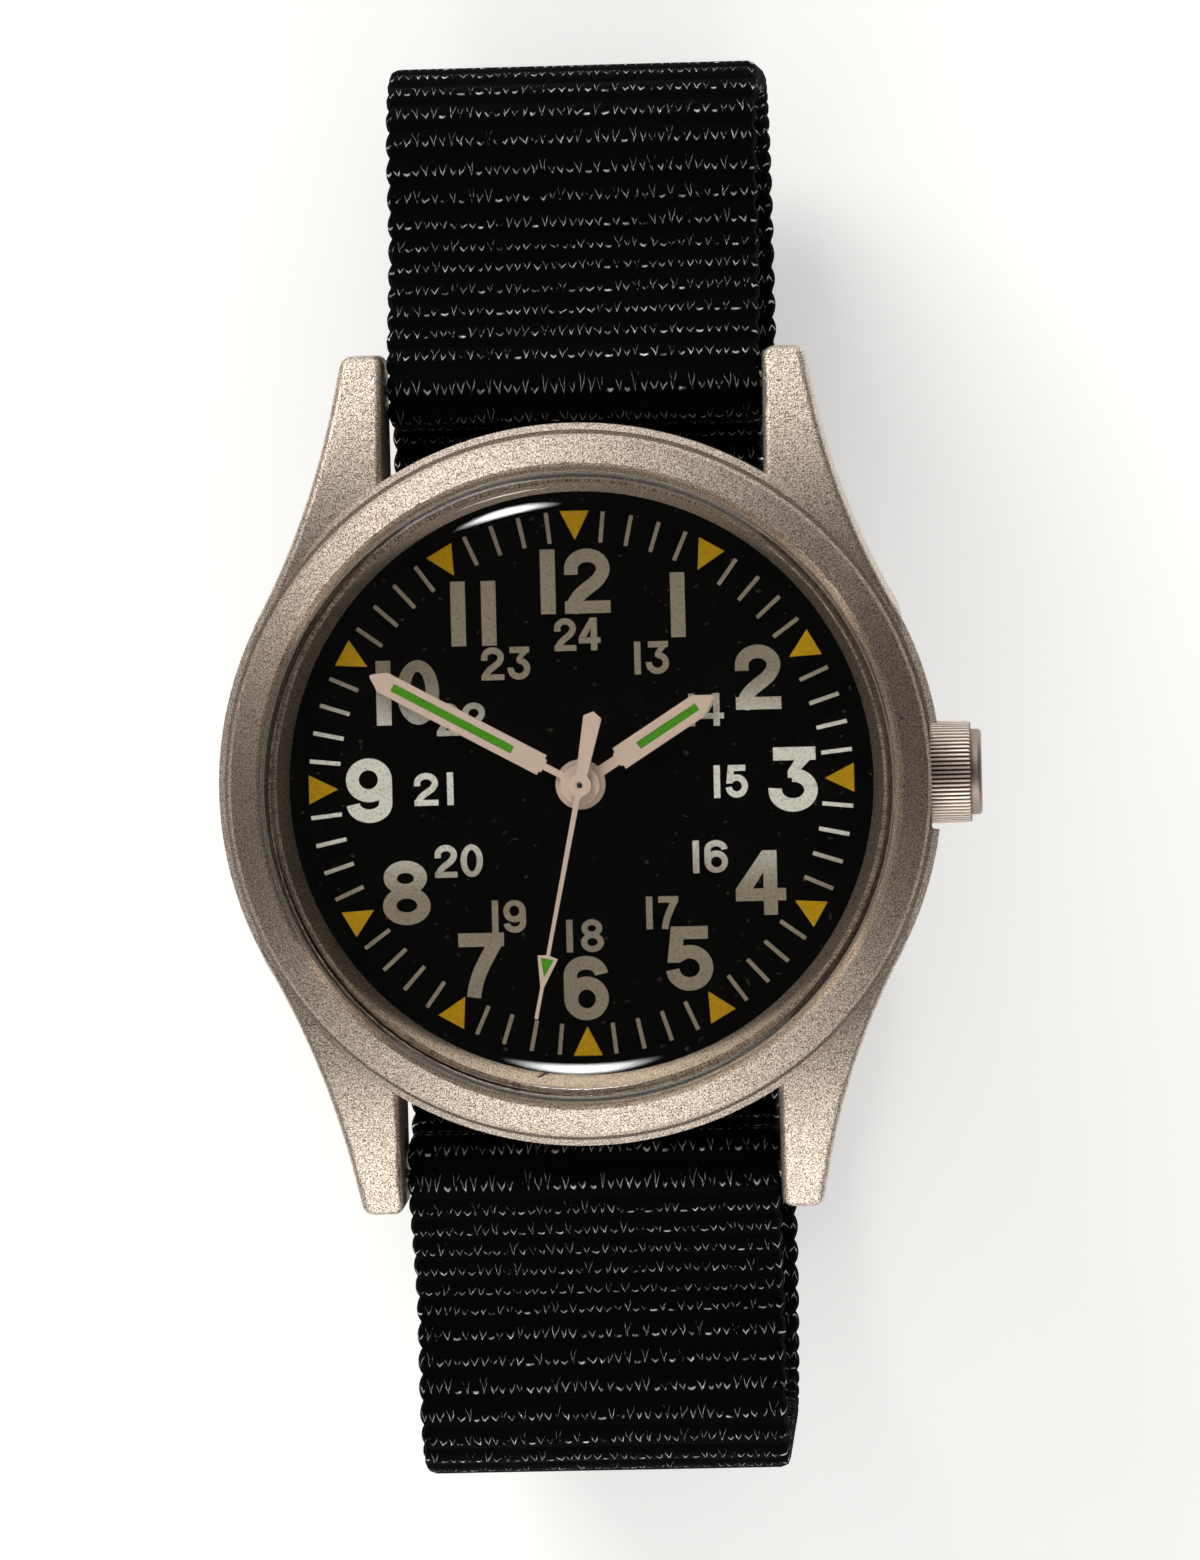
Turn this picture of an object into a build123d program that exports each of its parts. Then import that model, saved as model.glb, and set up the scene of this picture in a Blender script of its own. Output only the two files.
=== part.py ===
"""A field watch: steel case, domed crystal, hand-wound movement and a one-piece webbing strap.

The watch stands buckled in a closed loop, as it does on a cushion. +X points to the crown, +Y to
twelve o'clock and +Z out of the crystal. The origin lies on the floor under the hands' axis, on
the outer face of the fixed keeper. Sizes are in millimetres. Pieces of the watch head are drawn
with their heights above the back of the case, and are lifted to BACK_Z when they are written.
"""

import os
from math import asin, atan2, cos, degrees, hypot, radians, sin, tan

from build123d import *

# Clearances
SLIP = 0.05
FIT = 0.01
PIVOT_FIT = 0.02
CUT = 0.5

# Strap width, and the gap to the lug on each side of it
STRAP_W = 17.8
STRAP_SIDE_GAP = 0.1
STRAP_SEAT = STRAP_W + 2 * STRAP_SIDE_GAP

# Mid case, as radii and heights above the back
CASE_R = 17.1
CASE_TOP = 7.2
CASE_BOTTOM = 0.35
FOOT_INSET = 1.4
FOOT_BEVEL = 0.7
WAIST_INSET = 0.4
WAIST_HEIGHT = 2.0
RIM_HEIGHT = 1.8
RIM_STEP = 0.3
RIM_BEVEL = 0.3
NECK_INSET = 1.5
NECK_R = CASE_R - NECK_INSET
NECK_HEIGHT = 0.7
CASE_WALL = 3.65
CAVITY_R = CASE_R - CASE_WALL
SEAT_HEIGHT = 5.0

# Lugs
LUG_LENGTH = 3.35
LUG_TIP_W = 1.93
LUG_REACH = CASE_R + LUG_LENGTH
LUG_TIP_X = STRAP_SEAT / 2 + LUG_TIP_W
LUG_TIP_ROUND = 0.55
LUG_EDGE_ROUND = 0.35
LUG_TOP_DROP = 0.05
LUG_TIP_TOP = 4.3
LUG_TIP_BOTTOM = 0.25
# in X shares of the room from the strap's seat to the case's radius, in Y of that radius
LUG_ROOT_SHARES = (0.827, 0.31)
LUG_FLANK_SHARES = ((0.764, 0.465), (0.485, 0.746), (0.297, 1.053))
LUG_CREST_SHARES = ((0.42, 1.0), (0.74, 0.76))
LUG_UPRIGHT_SHARE = 0.76

# Bezel and crystal
BEZEL_INSET = 0.5
BEZEL_LIP_INSET = 1.98
BEZEL_R = CASE_R - BEZEL_INSET
BEZEL_LIP_R = CASE_R - BEZEL_LIP_INSET
BEZEL_EDGE = 0.55
BEZEL_RISE = 0.4
BEZEL_BEVEL = 0.15
CRYSTAL_INSET = 2.2
CRYSTAL_R = CASE_R - CRYSTAL_INSET
CRYSTAL_WALL = 0.45
CRYSTAL_WALL_TOP = 8.9
CRYSTAL_DOME_TOP = 10.6
CRYSTAL_CORNER = 0.5
CRYSTAL_THICK = 1.2

# Dial and the flange ring above it
DIAL_INSET = 2.65
DIAL_R = CASE_R - DIAL_INSET
DIAL_T = 0.4
DIAL_HOLE_R = 1.0
FLANGE_INSET = 3.35
FLANGE_R = CASE_R - FLANGE_INSET
FLANGE_TOP_STEP = 0.15

# Case back and gasket
BACK_INSET = 2.6
BACK_SPIGOT_GAP = 0.1
BACK_R = CASE_R - BACK_INSET
BACK_FLANGE_T = 1.2
BACK_SPIGOT_R = CAVITY_R - BACK_SPIGOT_GAP
BACK_SPIGOT_H = 1.0
BACK_FLOOR = 0.9
BACK_EDGE = 0.3
KEY_NOTCHES = 6
KEY_NOTCH_W = 2.2
KEY_NOTCH_DEPTH = 0.5
KEY_NOTCH_REACH = 1.1
GASKET_INSET = 0.3
GASKET_W = 0.6
GASKET_OUTER_R = BACK_R - GASKET_INSET
GASKET_INNER_R = GASKET_OUTER_R - GASKET_W
GASKET_T = 0.3

# Crown, tube and stem; the stem axis is parallel to X
STEM_HEIGHT = 3.2
STEM_R = 0.45
STEM_START_X = 5.6
TUBE_R = 1.3
TUBE_BORE_R = 0.55
TUBE_SHY = 0.15
TUBE_PROUD = 0.9
TUBE_START_X = CAVITY_R + TUBE_SHY
TUBE_END_X = CASE_R + TUBE_PROUD
CROWN_RECESS = 0.65
CROWN_START = CASE_R - CROWN_RECESS
CROWN_R = 2.45
CROWN_GRIP_L = 2.01
CROWN_CAP_R = 2.04
CROWN_CAP_L = 0.5
CROWN_CAP_ROUND = 0.2
CROWN_TEETH = 72
CROWN_TOOTH_H = 0.12
CROWN_TOOTH_SHARES = (0.0, 0.25, 0.55, 0.8)
SEAL_T = 0.35
SEAL_WALL = 0.32
THREAD_L = 0.5

# Hands: angles clockwise from twelve, lengths from the centre
HAND_T = 0.15
LUME_DEPTH_SHARE = 0.8
HOUR_ANGLE = 57.6
HOUR_LEVEL = 5.95
HOUR_LENGTH = 7.49
HOUR_SHOULDER = 6.67
HOUR_BLADE_START = 2.18
HOUR_W = 1.15
HOUR_HUB_R = 1.175
HOUR_NECK_W = 0.5
HOUR_SLOT = (3.28, 6.59, 0.38)
MINUTE_ANGLE = 298.8
MINUTE_LEVEL = 6.4
MINUTE_LENGTH = 11.12
MINUTE_SHOULDER = 10.46
MINUTE_BLADE_START = 2.02
MINUTE_W = 1.03
MINUTE_HUB_R = 0.93
MINUTE_NECK_W = 0.32
MINUTE_SLOT = (3.58, 9.93, 0.38)
HEEL_L = 0.12
HEEL_SHARE = 0.62
TIP_W = 0.12
SECOND_ANGLE = 192.0
SECOND_LEVEL = 6.85
SECOND_T = 0.1
SECOND_LENGTH = 11.19
SECOND_TAIL = 3.54
SECOND_TAIL_W = 0.865
SECOND_TAIL_TIP = 0.27
SECOND_TAIL_NECK_W = 0.47
SECOND_SINK_R = 0.2
SECOND_SINK = 0.04
SECOND_HUB_R = 0.55
SECOND_STEM_W = 0.27
SECOND_TIP_W = 0.17
ARROW_START = 8.14
ARROW_END = 9.67
ARROW_W = 0.97
ARROW_WINDOW = (8.3, 9.2, 0.62)

# Hand pipes, from the outside inwards
HOUR_PIPE_R = 0.75
HOUR_PIPE_BORE_R = 0.55
CANNON_R = 0.53
CANNON_BORE_R = 0.38
CENTRE_TUBE_R = 0.36
CENTRE_TUBE_BORE_R = 0.24
CENTRE_TUBE_TOP = 6.2
SECOND_STAFF_R = 0.22
SECOND_PIVOT_R = 0.125
PIPE_PROUD = 0.05

# Movement: heights above the back; the bridges lie nearest the back
PLATE_R = 12.75
PLATE_LOW = 4.0
PLATE_HIGH = 4.8
RIM_INNER_R = 11.9
BRIDGE_LOW = 1.5
BRIDGE_HIGH = 2.0
BRIDGE_GAP = 0.2
BRIDGE_BEARINGS = (-25.0, 150.0, 285.0, 335.0)
BRIDGE_HUB_REACH = 1.8
BRIDGE_HUB_BEARING = 34.0
BRIDGE_STEPS = 4
RECESS_FLOOR = 4.36
HOLDER_LOW = 2.3
HOLDER_HIGH = 4.9
HOLDER_INNER_R = 12.85
HOLDER_OUTER_R = CAVITY_R - SLIP
STAFF_R = 0.15
PIVOT_R = 0.1
JEWEL_R = 0.5
JEWEL_T = 0.3
TOOTH_RISE_SHARE = 0.6
TOOTH_ROOT_SHARE = 0.95
TOOTH_FOOT_SHARE = 0.25
TOOTH_TIP_SHARE = 0.13
SPOKE_W = 0.5
WHEEL_RIM_SHARE = 0.84
WHEEL_HUB_SHARE = 1.6

# Gear train: tooth counts and modules
SECONDS_TEETH = 80
SECONDS_PINION_TEETH = 10
THIRD_TEETH = 75
THIRD_PINION_TEETH = 10
SECOND_TEETH = 80
SECOND_PINION_TEETH = 12
BARREL_TEETH = 80
ESCAPE_PINION_TEETH = 8
ESCAPE_TEETH = 15
FINE_MODULE = 0.07
TRAIN_MODULE = 0.085
BARREL_MODULE = 0.125
THIRD_BEARING = 150.1
SECOND_BEARING = 84.3
BARREL_BEARING = 3.0
ESCAPE_BEARING = -60.0
BALANCE_BEARING = -47.4
WHEEL_T = 0.1
SECONDS_WHEEL_LOW = 2.98
THIRD_WHEEL_LOW = 3.6
SECOND_WHEEL_LOW = 3.25
PINION_SPAN = 0.4

# Barrel and winding work
BARREL_LOW = 2.15
BARREL_H = 0.75
BARREL_RIM_H = 0.3
BARREL_DRUM_R = 4.6
BARREL_WALL = 0.15
ARBOR_R = 0.6
SPRING_STRIP = 0.12
SPRING_PITCH = 0.5
SPRING_TURNS = 5
RATCHET_TEETH = 54
RATCHET_R = 3.6
CROWN_WHEEL_TEETH = 48
CROWN_WHEEL_X = 6.4
WINDING_LOW = 1.1
WINDING_T = 0.3
CROWN_SEAT_R = 0.8
WINDING_PINION_R = 1.55
WINDING_PINION_TEETH = 16
WINDING_PINION_X = 9.3
WINDING_PINION_L = 1.5
SLIDING_PINION_X = 7.4
SLIDING_PINION_L = 1.6
SLIDING_PINION_R = 1.2
SETTING_LEVER_T = 0.2
SETTING_LEVER_W = 0.7
SETTING_LEVER_L = 3.2
SETTING_LEVER_X = 11.3
SETTING_LEVER_BEARING = 97.0
CLICK_L = 1.8
CLICK_BEARING = 215.0
CLICK_NOSE_BEARING = 140.0

# Motion work under the dial
CANNON_TEETH = 12
MINUTE_WHEEL_TEETH = 36
MINUTE_PINION_TEETH = 10
HOUR_WHEEL_TEETH = 40
CANNON_MODULE = 0.1
MOTION_LOW = 4.42
MOTION_T = 0.14
HOUR_WHEEL_LOW = 4.64
POST_R = 0.2
MINUTE_WHEEL_BEARING = -90.0

# Escapement
ESCAPE_R = 2.2
ESCAPE_LOW = 2.4
ESCAPE_TOOTH_H = 0.45
ESCAPE_TOOTH_SHARES = (0.0, 0.45, 0.55, 0.62)
ESCAPE_RIM_SHARE = 0.8
ESCAPE_HUB_R = 0.45
PALLET_REACH = 2.95
PALLET_T = 0.15
LEVER_W = 0.3
PALLET_ARM = 1.6
ROLLER_R = 0.42
ROLLER_LOW = 2.3
ROLLER_T = 0.25
BALANCE_REACH = 4.52
BALANCE_R = 4.0
BALANCE_RIM_W = 0.45
BALANCE_LOW = 3.3
BALANCE_T = 0.4
HAIRSPRING_LOW = 3.05
HAIRSPRING_T = 0.14
HAIRSPRING_STRIP = 0.05
HAIRSPRING_PITCH = 0.28
HAIRSPRING_TURNS = 7
COLLET_R = 0.4
PALLET_BRIDGE_LOW = 2.05
PALLET_BRIDGE_T = 0.22
PALLET_BRIDGE_W = 1.1
PALLET_SHELF_LOW = 2.72
PALLET_PILLAR_REACH = 4.05
PALLET_PILLAR_BEARING = -128.0

# Movement screws
SCREW_HEAD_R = 0.5
SCREW_HEAD_T = 0.3
SCREW_SLOT_W = 0.17
SCREW_SHANK_R = 0.3
SCREW_DEPTH = 1.3
SCREW_BEARINGS = (20.0, 80.0, 135.0, 170.0, 205.0, 262.0, 305.0)

# Spring bars
BAR_SETBACK = 1.55
BAR_Y = LUG_REACH - BAR_SETBACK
BAR_HEIGHT = 2.0
BAR_TUBE_R = 0.75
BAR_BORE_R = 0.55
BAR_TUBE_SHY = 1.8
BAR_TUBE_HALF = STRAP_SEAT / 2 - BAR_TUBE_SHY
BAR_FLANGE_R = 0.7
BAR_FLANGE_SHY = 0.7
BAR_FLANGE_X = STRAP_SEAT / 2 - BAR_FLANGE_SHY
BAR_FLANGE_T = 0.4
BAR_PIN_R = 0.38
BAR_PIN_DEPTH = 0.8
BAR_PIN_REACH = STRAP_SEAT / 2 + BAR_PIN_DEPTH
BAR_HOLE_R = 0.42
BAR_HOLE_DEPTH = 1.0
BAR_ROD_L = 3.8
BAR_ROD_START = STRAP_SEAT / 2 - BAR_ROD_L
BAR_SPRING_GAP = 0.02
BAR_SPRING_WALL = 0.12

# Strap: depths are measured outwards from the wrist side of the loop at its bottom
STRAP_T = 1.2
WRIST_GAP = 28.0
FLOOR_DEPTH = 4.15
LOOP_HALF = 34.2
TOP_BEND_SHARE = 0.5195
BOTTOM_BEND_R = 9.4
SLOPE_ANGLE = 35.0
BAR_WRAP_R = 1.4
UNDER_BEND_R = 1.5
EASE_R = 3.0
TAIL_EASE_R = 2.0
LEG_GAP = 0.1
PIN_Y = -9.0
PIN_R = 0.6
FOLD_R = 1.33
FOLD_ROUND_SHARE = 0.98
PINCH_REACH = 3.4
INNER_LEG_END = 4.5
TAIL_RISE_Y = -16.2
TAIL_CREST = (-11.2, -7.5)
TAIL_LAND_Y = -4.0
TAIL_CREST_LIFT = 2.7
TAIL_GAP = 0.1
TAIL_SHORT = 11.2
TAIL_TIP_EXTRA = 1.1
TAIL_END = LOOP_HALF - TAIL_SHORT
TAIL_TIP_R = STRAP_W / 2 + TAIL_TIP_EXTRA
HOLE_PITCH = 6.5
HOLE_L = 3.4
HOLE_W = 2.2
HOLES_BACK = 1
HOLES_FORWARD = 5
HOLE_DEPTH_SPARE = 0.03
PRONG_SLOT_W = 2.4
PRONG_SLOT_REACH = 2.1

# Buckle and keepers
FRAME_ARM_W = 1.5
FRAME_SIDE_GAP = 0.3
FRAME_HALF_W = STRAP_W / 2 + FRAME_SIDE_GAP + FRAME_ARM_W
FRAME_FRONT_Y = -18.3
FRAME_BAR_L = 1.6
FRAME_T = 1.6
FRAME_BACK_REACH = 1.1
FRAME_CORNER = 1.6
FRAME_BAR_DEPTH = 1.3
PRONG_W = 1.6
PRONG_T = 0.8
PRONG_EYE_R = 1.15
PRONG_TIP_OVERHANG = 0.4
PRONG_BEND_Y = -16.3
KEEPER_T = 0.9
KEEPER_W = 5.0
SLIDING_KEEPER_Y = 12.0

# Places that follow from the sizes above
DIAL_TOP = SEAT_HEIGHT + DIAL_T
CRYSTAL_SEAT = DIAL_TOP + NECK_HEIGHT * 2
NECK_TOP = CASE_TOP + NECK_HEIGHT
FLOOR_Z = FLOOR_DEPTH
UNDER_Z = FLOOR_Z + WRIST_GAP + STRAP_T / 2
BACK_Z = UNDER_Z + STRAP_T / 2 + SLIP
BAR_Z = BACK_Z + BAR_HEIGHT
LEG_IN = 0.0
LEG_OUT = LEG_IN + STRAP_T + LEG_GAP
TAIL_LAID = LEG_OUT + STRAP_T + TAIL_GAP
RING_DEPTH = STRAP_T / 2
PIN_DEPTH = (LEG_IN + LEG_OUT) / 2
TAIL_CREST_DEPTH = PIN_DEPTH + TAIL_CREST_LIFT
PIVOT_LOW = BRIDGE_LOW + JEWEL_T / 2
PIVOT_HIGH = PLATE_HIGH - FIT
BACK_INNER_R = PLATE_R + 2 * SLIP
CENTRE = (0.0, 0.0)


def polar(reach, bearing, start=CENTRE):
    """The point at a distance and bearing, in degrees from +X, from a start."""
    return (
        start[0] + reach * cos(radians(bearing)),
        start[1] + reach * sin(radians(bearing)),
    )


def bearing_of(start, end):
    """The bearing from one point to another, in degrees from +X."""
    return degrees(atan2(end[1] - start[1], end[0] - start[0]))


def pitch_r(teeth, module):
    """The pitch radius of a wheel."""
    return teeth * module / 2


# Centres of the train, each one at the meshing distance from the last
THIRD_AT = polar(
    pitch_r(SECONDS_PINION_TEETH, TRAIN_MODULE) + pitch_r(THIRD_TEETH, TRAIN_MODULE),
    THIRD_BEARING,
)
SECOND_AT = polar(
    pitch_r(THIRD_PINION_TEETH, TRAIN_MODULE) + pitch_r(SECOND_TEETH, TRAIN_MODULE),
    SECOND_BEARING,
    THIRD_AT,
)
BARREL_AT = polar(
    pitch_r(SECOND_PINION_TEETH, BARREL_MODULE) + pitch_r(BARREL_TEETH, BARREL_MODULE),
    BARREL_BEARING,
    SECOND_AT,
)
ESCAPE_AT = polar(
    pitch_r(ESCAPE_PINION_TEETH, FINE_MODULE) + pitch_r(SECONDS_TEETH, FINE_MODULE),
    ESCAPE_BEARING,
)
BALANCE_AT = polar(BALANCE_REACH, BALANCE_BEARING, ESCAPE_AT)
PALLET_AT = polar(PALLET_REACH, BALANCE_BEARING, ESCAPE_AT)
CROWN_WHEEL_AT = (CROWN_WHEEL_X, 0.0)
MINUTE_WHEEL_AT = polar(
    pitch_r(CANNON_TEETH + MINUTE_WHEEL_TEETH, CANNON_MODULE), MINUTE_WHEEL_BEARING
)
HOUR_MODULE = (
    (CANNON_TEETH + MINUTE_WHEEL_TEETH)
    * CANNON_MODULE
    / (MINUTE_PINION_TEETH + HOUR_WHEEL_TEETH)
)
PALLET_PILLAR_AT = polar(PALLET_PILLAR_REACH, PALLET_PILLAR_BEARING, ESCAPE_AT)


def at(point, height=0.0):
    """A move to a plan point and height."""
    return Pos(point[0], point[1], height)


def disc(radius, low, high, point=CENTRE, bore=0.0):
    """A disc between two heights, or a ring if it has a bore."""
    middle = at(point, (low + high) / 2)
    body = middle * Cylinder(radius, high - low)
    if bore:
        body -= middle * Cylinder(bore, high - low + CUT)
    return body


def rod(radius, start_x, end_x, point=CENTRE, bore=0.0):
    """A round bar along X between two places; point is its (y, z)."""
    middle = Pos((start_x + end_x) / 2, point[0], point[1]) * Rot(0, 90, 0)
    body = middle * Cylinder(radius, end_x - start_x)
    if bore:
        body -= middle * Cylinder(bore, end_x - start_x + CUT)
    return body


def block(x_span, y_span, z_span):
    """A box between pairs of places along X, Y and Z."""
    low, high = zip(x_span, y_span, z_span)
    size = [b - a for a, b in zip(low, high)]
    return Pos(*[(a + b) / 2 for a, b in zip(low, high)]) * Box(*size)


def turned(outline):
    """A solid of revolution about Z from a closed outline of (radius, height) points."""
    wire = Polyline(*[(r, 0, z) for r, z in outline], close=True)
    return revolve(make_face(wire), Axis.Z)


def plate_of(points, low, high):
    """A flat plate between two heights from plan points."""
    face = make_face(Polyline(*points, close=True))
    return Pos(0, 0, low) * extrude(face, high - low)


def side_plate(points, half_width):
    """A plate that is as wide along X as stated, from (y, z) points of its side outline."""
    face = make_face(Polyline(*[(0, y, z) for y, z in points], close=True))
    return extrude(face, half_width, dir=(1, 0, 0), both=True)


def drill(solid, radius, points, low, high):
    """The solid with upright holes at plan points."""
    for point in points:
        solid -= disc(radius, low - CUT, high + CUT, point)
    return solid


def bar_between(start, end, width, low, high):
    """A flat bar with round ends between two plan points."""
    reach = hypot(end[0] - start[0], end[1] - start[1])
    middle = ((start[0] + end[0]) / 2, (start[1] + end[1]) / 2)
    bar = Box(reach, width, high - low)
    bar = at(middle, (low + high) / 2) * Rot(0, 0, bearing_of(start, end)) * bar
    return bar + disc(width / 2, low, high, start) + disc(width / 2, low, high, end)


def toothed(teeth, radius, low, high, point=CENTRE, phase=0.0):
    """A wheel of short straight-sided teeth; phase is the bearing of one tooth."""
    module = 2 * radius / teeth
    root = radius - TOOTH_ROOT_SHARE * module
    tip = radius + TOOTH_RISE_SHARE * module
    corners = (
        (root, -TOOTH_FOOT_SHARE),
        (tip, -TOOTH_TIP_SHARE),
        (tip, TOOTH_TIP_SHARE),
        (root, TOOTH_FOOT_SHARE),
    )
    step = 360 / teeth
    outline = [
        polar(r, phase + (tooth + share) * step, point)
        for tooth in range(teeth)
        for r, share in corners
    ]
    return plate_of(outline, low, high)


def tooth_phase(start, end):
    """The phase that puts a tooth on the line from one centre to the next."""
    return bearing_of(start, end)


def gap_phase(start, end, teeth):
    """The phase that puts a tooth gap on the line from one centre to the next."""
    return bearing_of(start, end) + 180 / teeth


def crossed_out(wheel, rim_r, hub_r, low, high, point):
    """The wheel with four windows between its rim and hub."""
    window = disc(rim_r, low - CUT, high + CUT, point, hub_r)
    for turn in (0, 90):
        spoke = Rot(0, 0, turn) * Box(2 * rim_r + CUT, SPOKE_W, high - low + 4 * CUT)
        window -= at(point, (low + high) / 2) * spoke
    return wheel - window


def staff(point, low=PIVOT_LOW, high=PIVOT_HIGH, radius=STAFF_R):
    """A wheel's staff with a thinner pivot at each end."""
    body = disc(radius, BRIDGE_HIGH + SLIP, PLATE_LOW - SLIP, point)
    return body + disc(PIVOT_R, low, high, point)


def strip_spiral(start_r, pitch, turns, strip, low, height, point):
    """A flat spiral spring, as half rings whose radius grows by half a pitch each."""
    spiral = None
    for half in range(2 * turns):
        radius = start_r + half * pitch / 2
        shift = pitch / 2 if half % 2 else 0.0
        ring = disc(radius + strip / 2, low, low + height, CENTRE, radius - strip / 2)
        side = 1 if half % 2 == 0 else -1
        reach = side * (radius + strip)
        y_span = (min(0, reach), max(0, reach))
        half_ring = ring & block((-radius - strip, radius + strip), y_span, (low, low + height))
        half_ring = at((point[0] - shift, point[1])) * half_ring
        spiral = half_ring if spiral is None else spiral + half_ring
    return spiral


def case_blank():
    """The outside of the round case, before its bore."""
    waist_r = CASE_R - WAIST_INSET
    rim_low = CASE_TOP - RIM_HEIGHT
    return turned(
        [
            (0, CASE_BOTTOM),
            (CASE_R - FOOT_INSET, CASE_BOTTOM),
            (waist_r, CASE_BOTTOM + FOOT_BEVEL),
            (waist_r, WAIST_HEIGHT),
            (CASE_R - RIM_STEP, rim_low - RIM_STEP),
            (CASE_R, rim_low + RIM_STEP),
            (CASE_R, CASE_TOP - RIM_BEVEL),
            (CASE_R - RIM_BEVEL, CASE_TOP),
            (NECK_R, CASE_TOP),
            (NECK_R, NECK_TOP),
            (0, NECK_TOP),
        ]
    )


def case_bore():
    """The space inside the case, from the back recess up to the crystal seat."""
    recess_r = BACK_R + 2 * SLIP
    gasket_top = BACK_FLANGE_T + GASKET_T + SLIP
    seat_r = DIAL_R + 2 * SLIP
    crystal_bore = CRYSTAL_R + SLIP / 2
    return turned(
        [
            (0, CASE_BOTTOM - CUT),
            (recess_r, CASE_BOTTOM - CUT),
            (recess_r, BACK_FLANGE_T),
            (GASKET_OUTER_R + SLIP, BACK_FLANGE_T),
            (GASKET_OUTER_R + SLIP, gasket_top),
            (CAVITY_R, gasket_top),
            (CAVITY_R, SEAT_HEIGHT),
            (seat_r, SEAT_HEIGHT),
            (seat_r, CRYSTAL_SEAT),
            (crystal_bore, CRYSTAL_SEAT),
            (crystal_bore, NECK_TOP + CUT),
            (0, NECK_TOP + CUT),
        ]
    )


def lug():
    """The lug at +X, +Y: a plan outline cut to its side outline, with its edges eased."""
    inner = STRAP_SEAT / 2
    room = CASE_R - inner
    flank = [(inner + x * room, y * CASE_R) for x, y in LUG_FLANK_SHARES]
    tip_outer = (LUG_TIP_X, LUG_REACH)
    tip_inner = (inner, LUG_REACH)
    root_outer = (inner + LUG_ROOT_SHARES[0] * room, LUG_ROOT_SHARES[1] * CASE_R)
    root_inner = (inner, root_outer[1])
    edges = [
        ThreePointArc(*flank),
        Line(flank[2], tip_outer),
        Line(tip_outer, tip_inner),
        Line(tip_inner, root_inner),
        Line(root_inner, root_outer),
        Line(root_outer, flank[0]),
    ]
    plan = make_face(Wire(edges))
    tips = [v for v in plan.vertices() if v.Y > LUG_REACH - CUT / 2]
    plan = fillet(tips, LUG_TIP_ROUND)
    blank = extrude(plan, CASE_TOP)
    top = CASE_TOP - LUG_TOP_DROP
    end = LUG_REACH + CUT
    crest = [(0, y * LUG_REACH, LUG_TIP_TOP + (top - LUG_TIP_TOP) * z) for y, z in LUG_CREST_SHARES]
    tip_top = (0, end, LUG_TIP_TOP)
    outline = [
        Line((0, 0, CASE_BOTTOM), (0, 0, top)),
        Line((0, 0, top), crest[0]),
        ThreePointArc(crest[0], crest[1], tip_top),
        Line(tip_top, (0, end, LUG_TIP_BOTTOM)),
        Line((0, end, LUG_TIP_BOTTOM), (0, 0, CASE_BOTTOM)),
    ]
    side = extrude(make_face(Wire(outline)), CASE_R, dir=(1, 0, 0))
    body = blank & side
    eased = [e for e in body.edges() if is_top_edge(e)]
    return fillet(eased, LUG_EDGE_ROUND)


def is_top_edge(edge):
    """Whether an edge of a lug lies along its top, towards its tip."""
    middle = edge.center()
    upright = abs((edge % (1 / 2)).Z) > LUG_UPRIGHT_SHARE
    outer = middle.Y > LUG_REACH / 2 and middle.Z > LUG_TIP_BOTTOM + CUT
    return outer and not upright and edge.length > LUG_TIP_ROUND


def mid_case():
    """The case with its lugs, bore, crown notch, crown tube hole and spring bar holes."""
    one = lug()
    across = mirror(one, Plane.YZ)
    lugs = [one, across, mirror(one, Plane.XZ), mirror(across, Plane.XZ)]
    body = case_blank() + lugs
    body -= case_bore()
    body -= rod(TUBE_R + FIT, CAVITY_R - CUT, CASE_R + CUT, (0, STEM_HEIGHT))
    notch_x = (CROWN_START - SLIP, CASE_R + CUT)
    notch_r = CROWN_R + 2 * SLIP
    body -= rod(notch_r, *notch_x, (0, STEM_HEIGHT))
    body -= block(notch_x, (-notch_r, notch_r), (STEM_HEIGHT, CASE_TOP + CUT))
    inner = STRAP_SEAT / 2
    for side_y in (BAR_Y, -BAR_Y):
        hole_half = inner + BAR_HOLE_DEPTH
        body -= rod(BAR_HOLE_R, -hole_half, hole_half, (side_y, BAR_HEIGHT))
    return body


def bezel():
    """The bezel, pressed over the neck, with a lip round the crystal."""
    low = CASE_TOP + FIT
    lip_top = CASE_TOP + BEZEL_EDGE + BEZEL_BEVEL + BEZEL_RISE
    inner = NECK_R + FIT
    return turned(
        [
            (inner, low),
            (BEZEL_R, low),
            (BEZEL_R, low + BEZEL_EDGE),
            (BEZEL_R - BEZEL_BEVEL, low + BEZEL_EDGE + BEZEL_BEVEL),
            (BEZEL_LIP_R + BEZEL_BEVEL, lip_top),
            (BEZEL_LIP_R, lip_top - BEZEL_BEVEL),
            (BEZEL_LIP_R, NECK_TOP + FIT),
            (inner, NECK_TOP + FIT),
        ]
    )


def dome(edge_r, edge_z, top):
    """An arc from the edge of a spherical dome up to its top on the axis."""
    rise = top - edge_z
    sphere_r = (edge_r**2 + rise**2) / (2 * rise)
    middle_r = edge_r / 2
    middle_z = top - sphere_r + (sphere_r**2 - middle_r**2) ** 0.5
    return ThreePointArc((edge_r, 0, edge_z), (middle_r, 0, middle_z), (0, 0, top))


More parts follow.
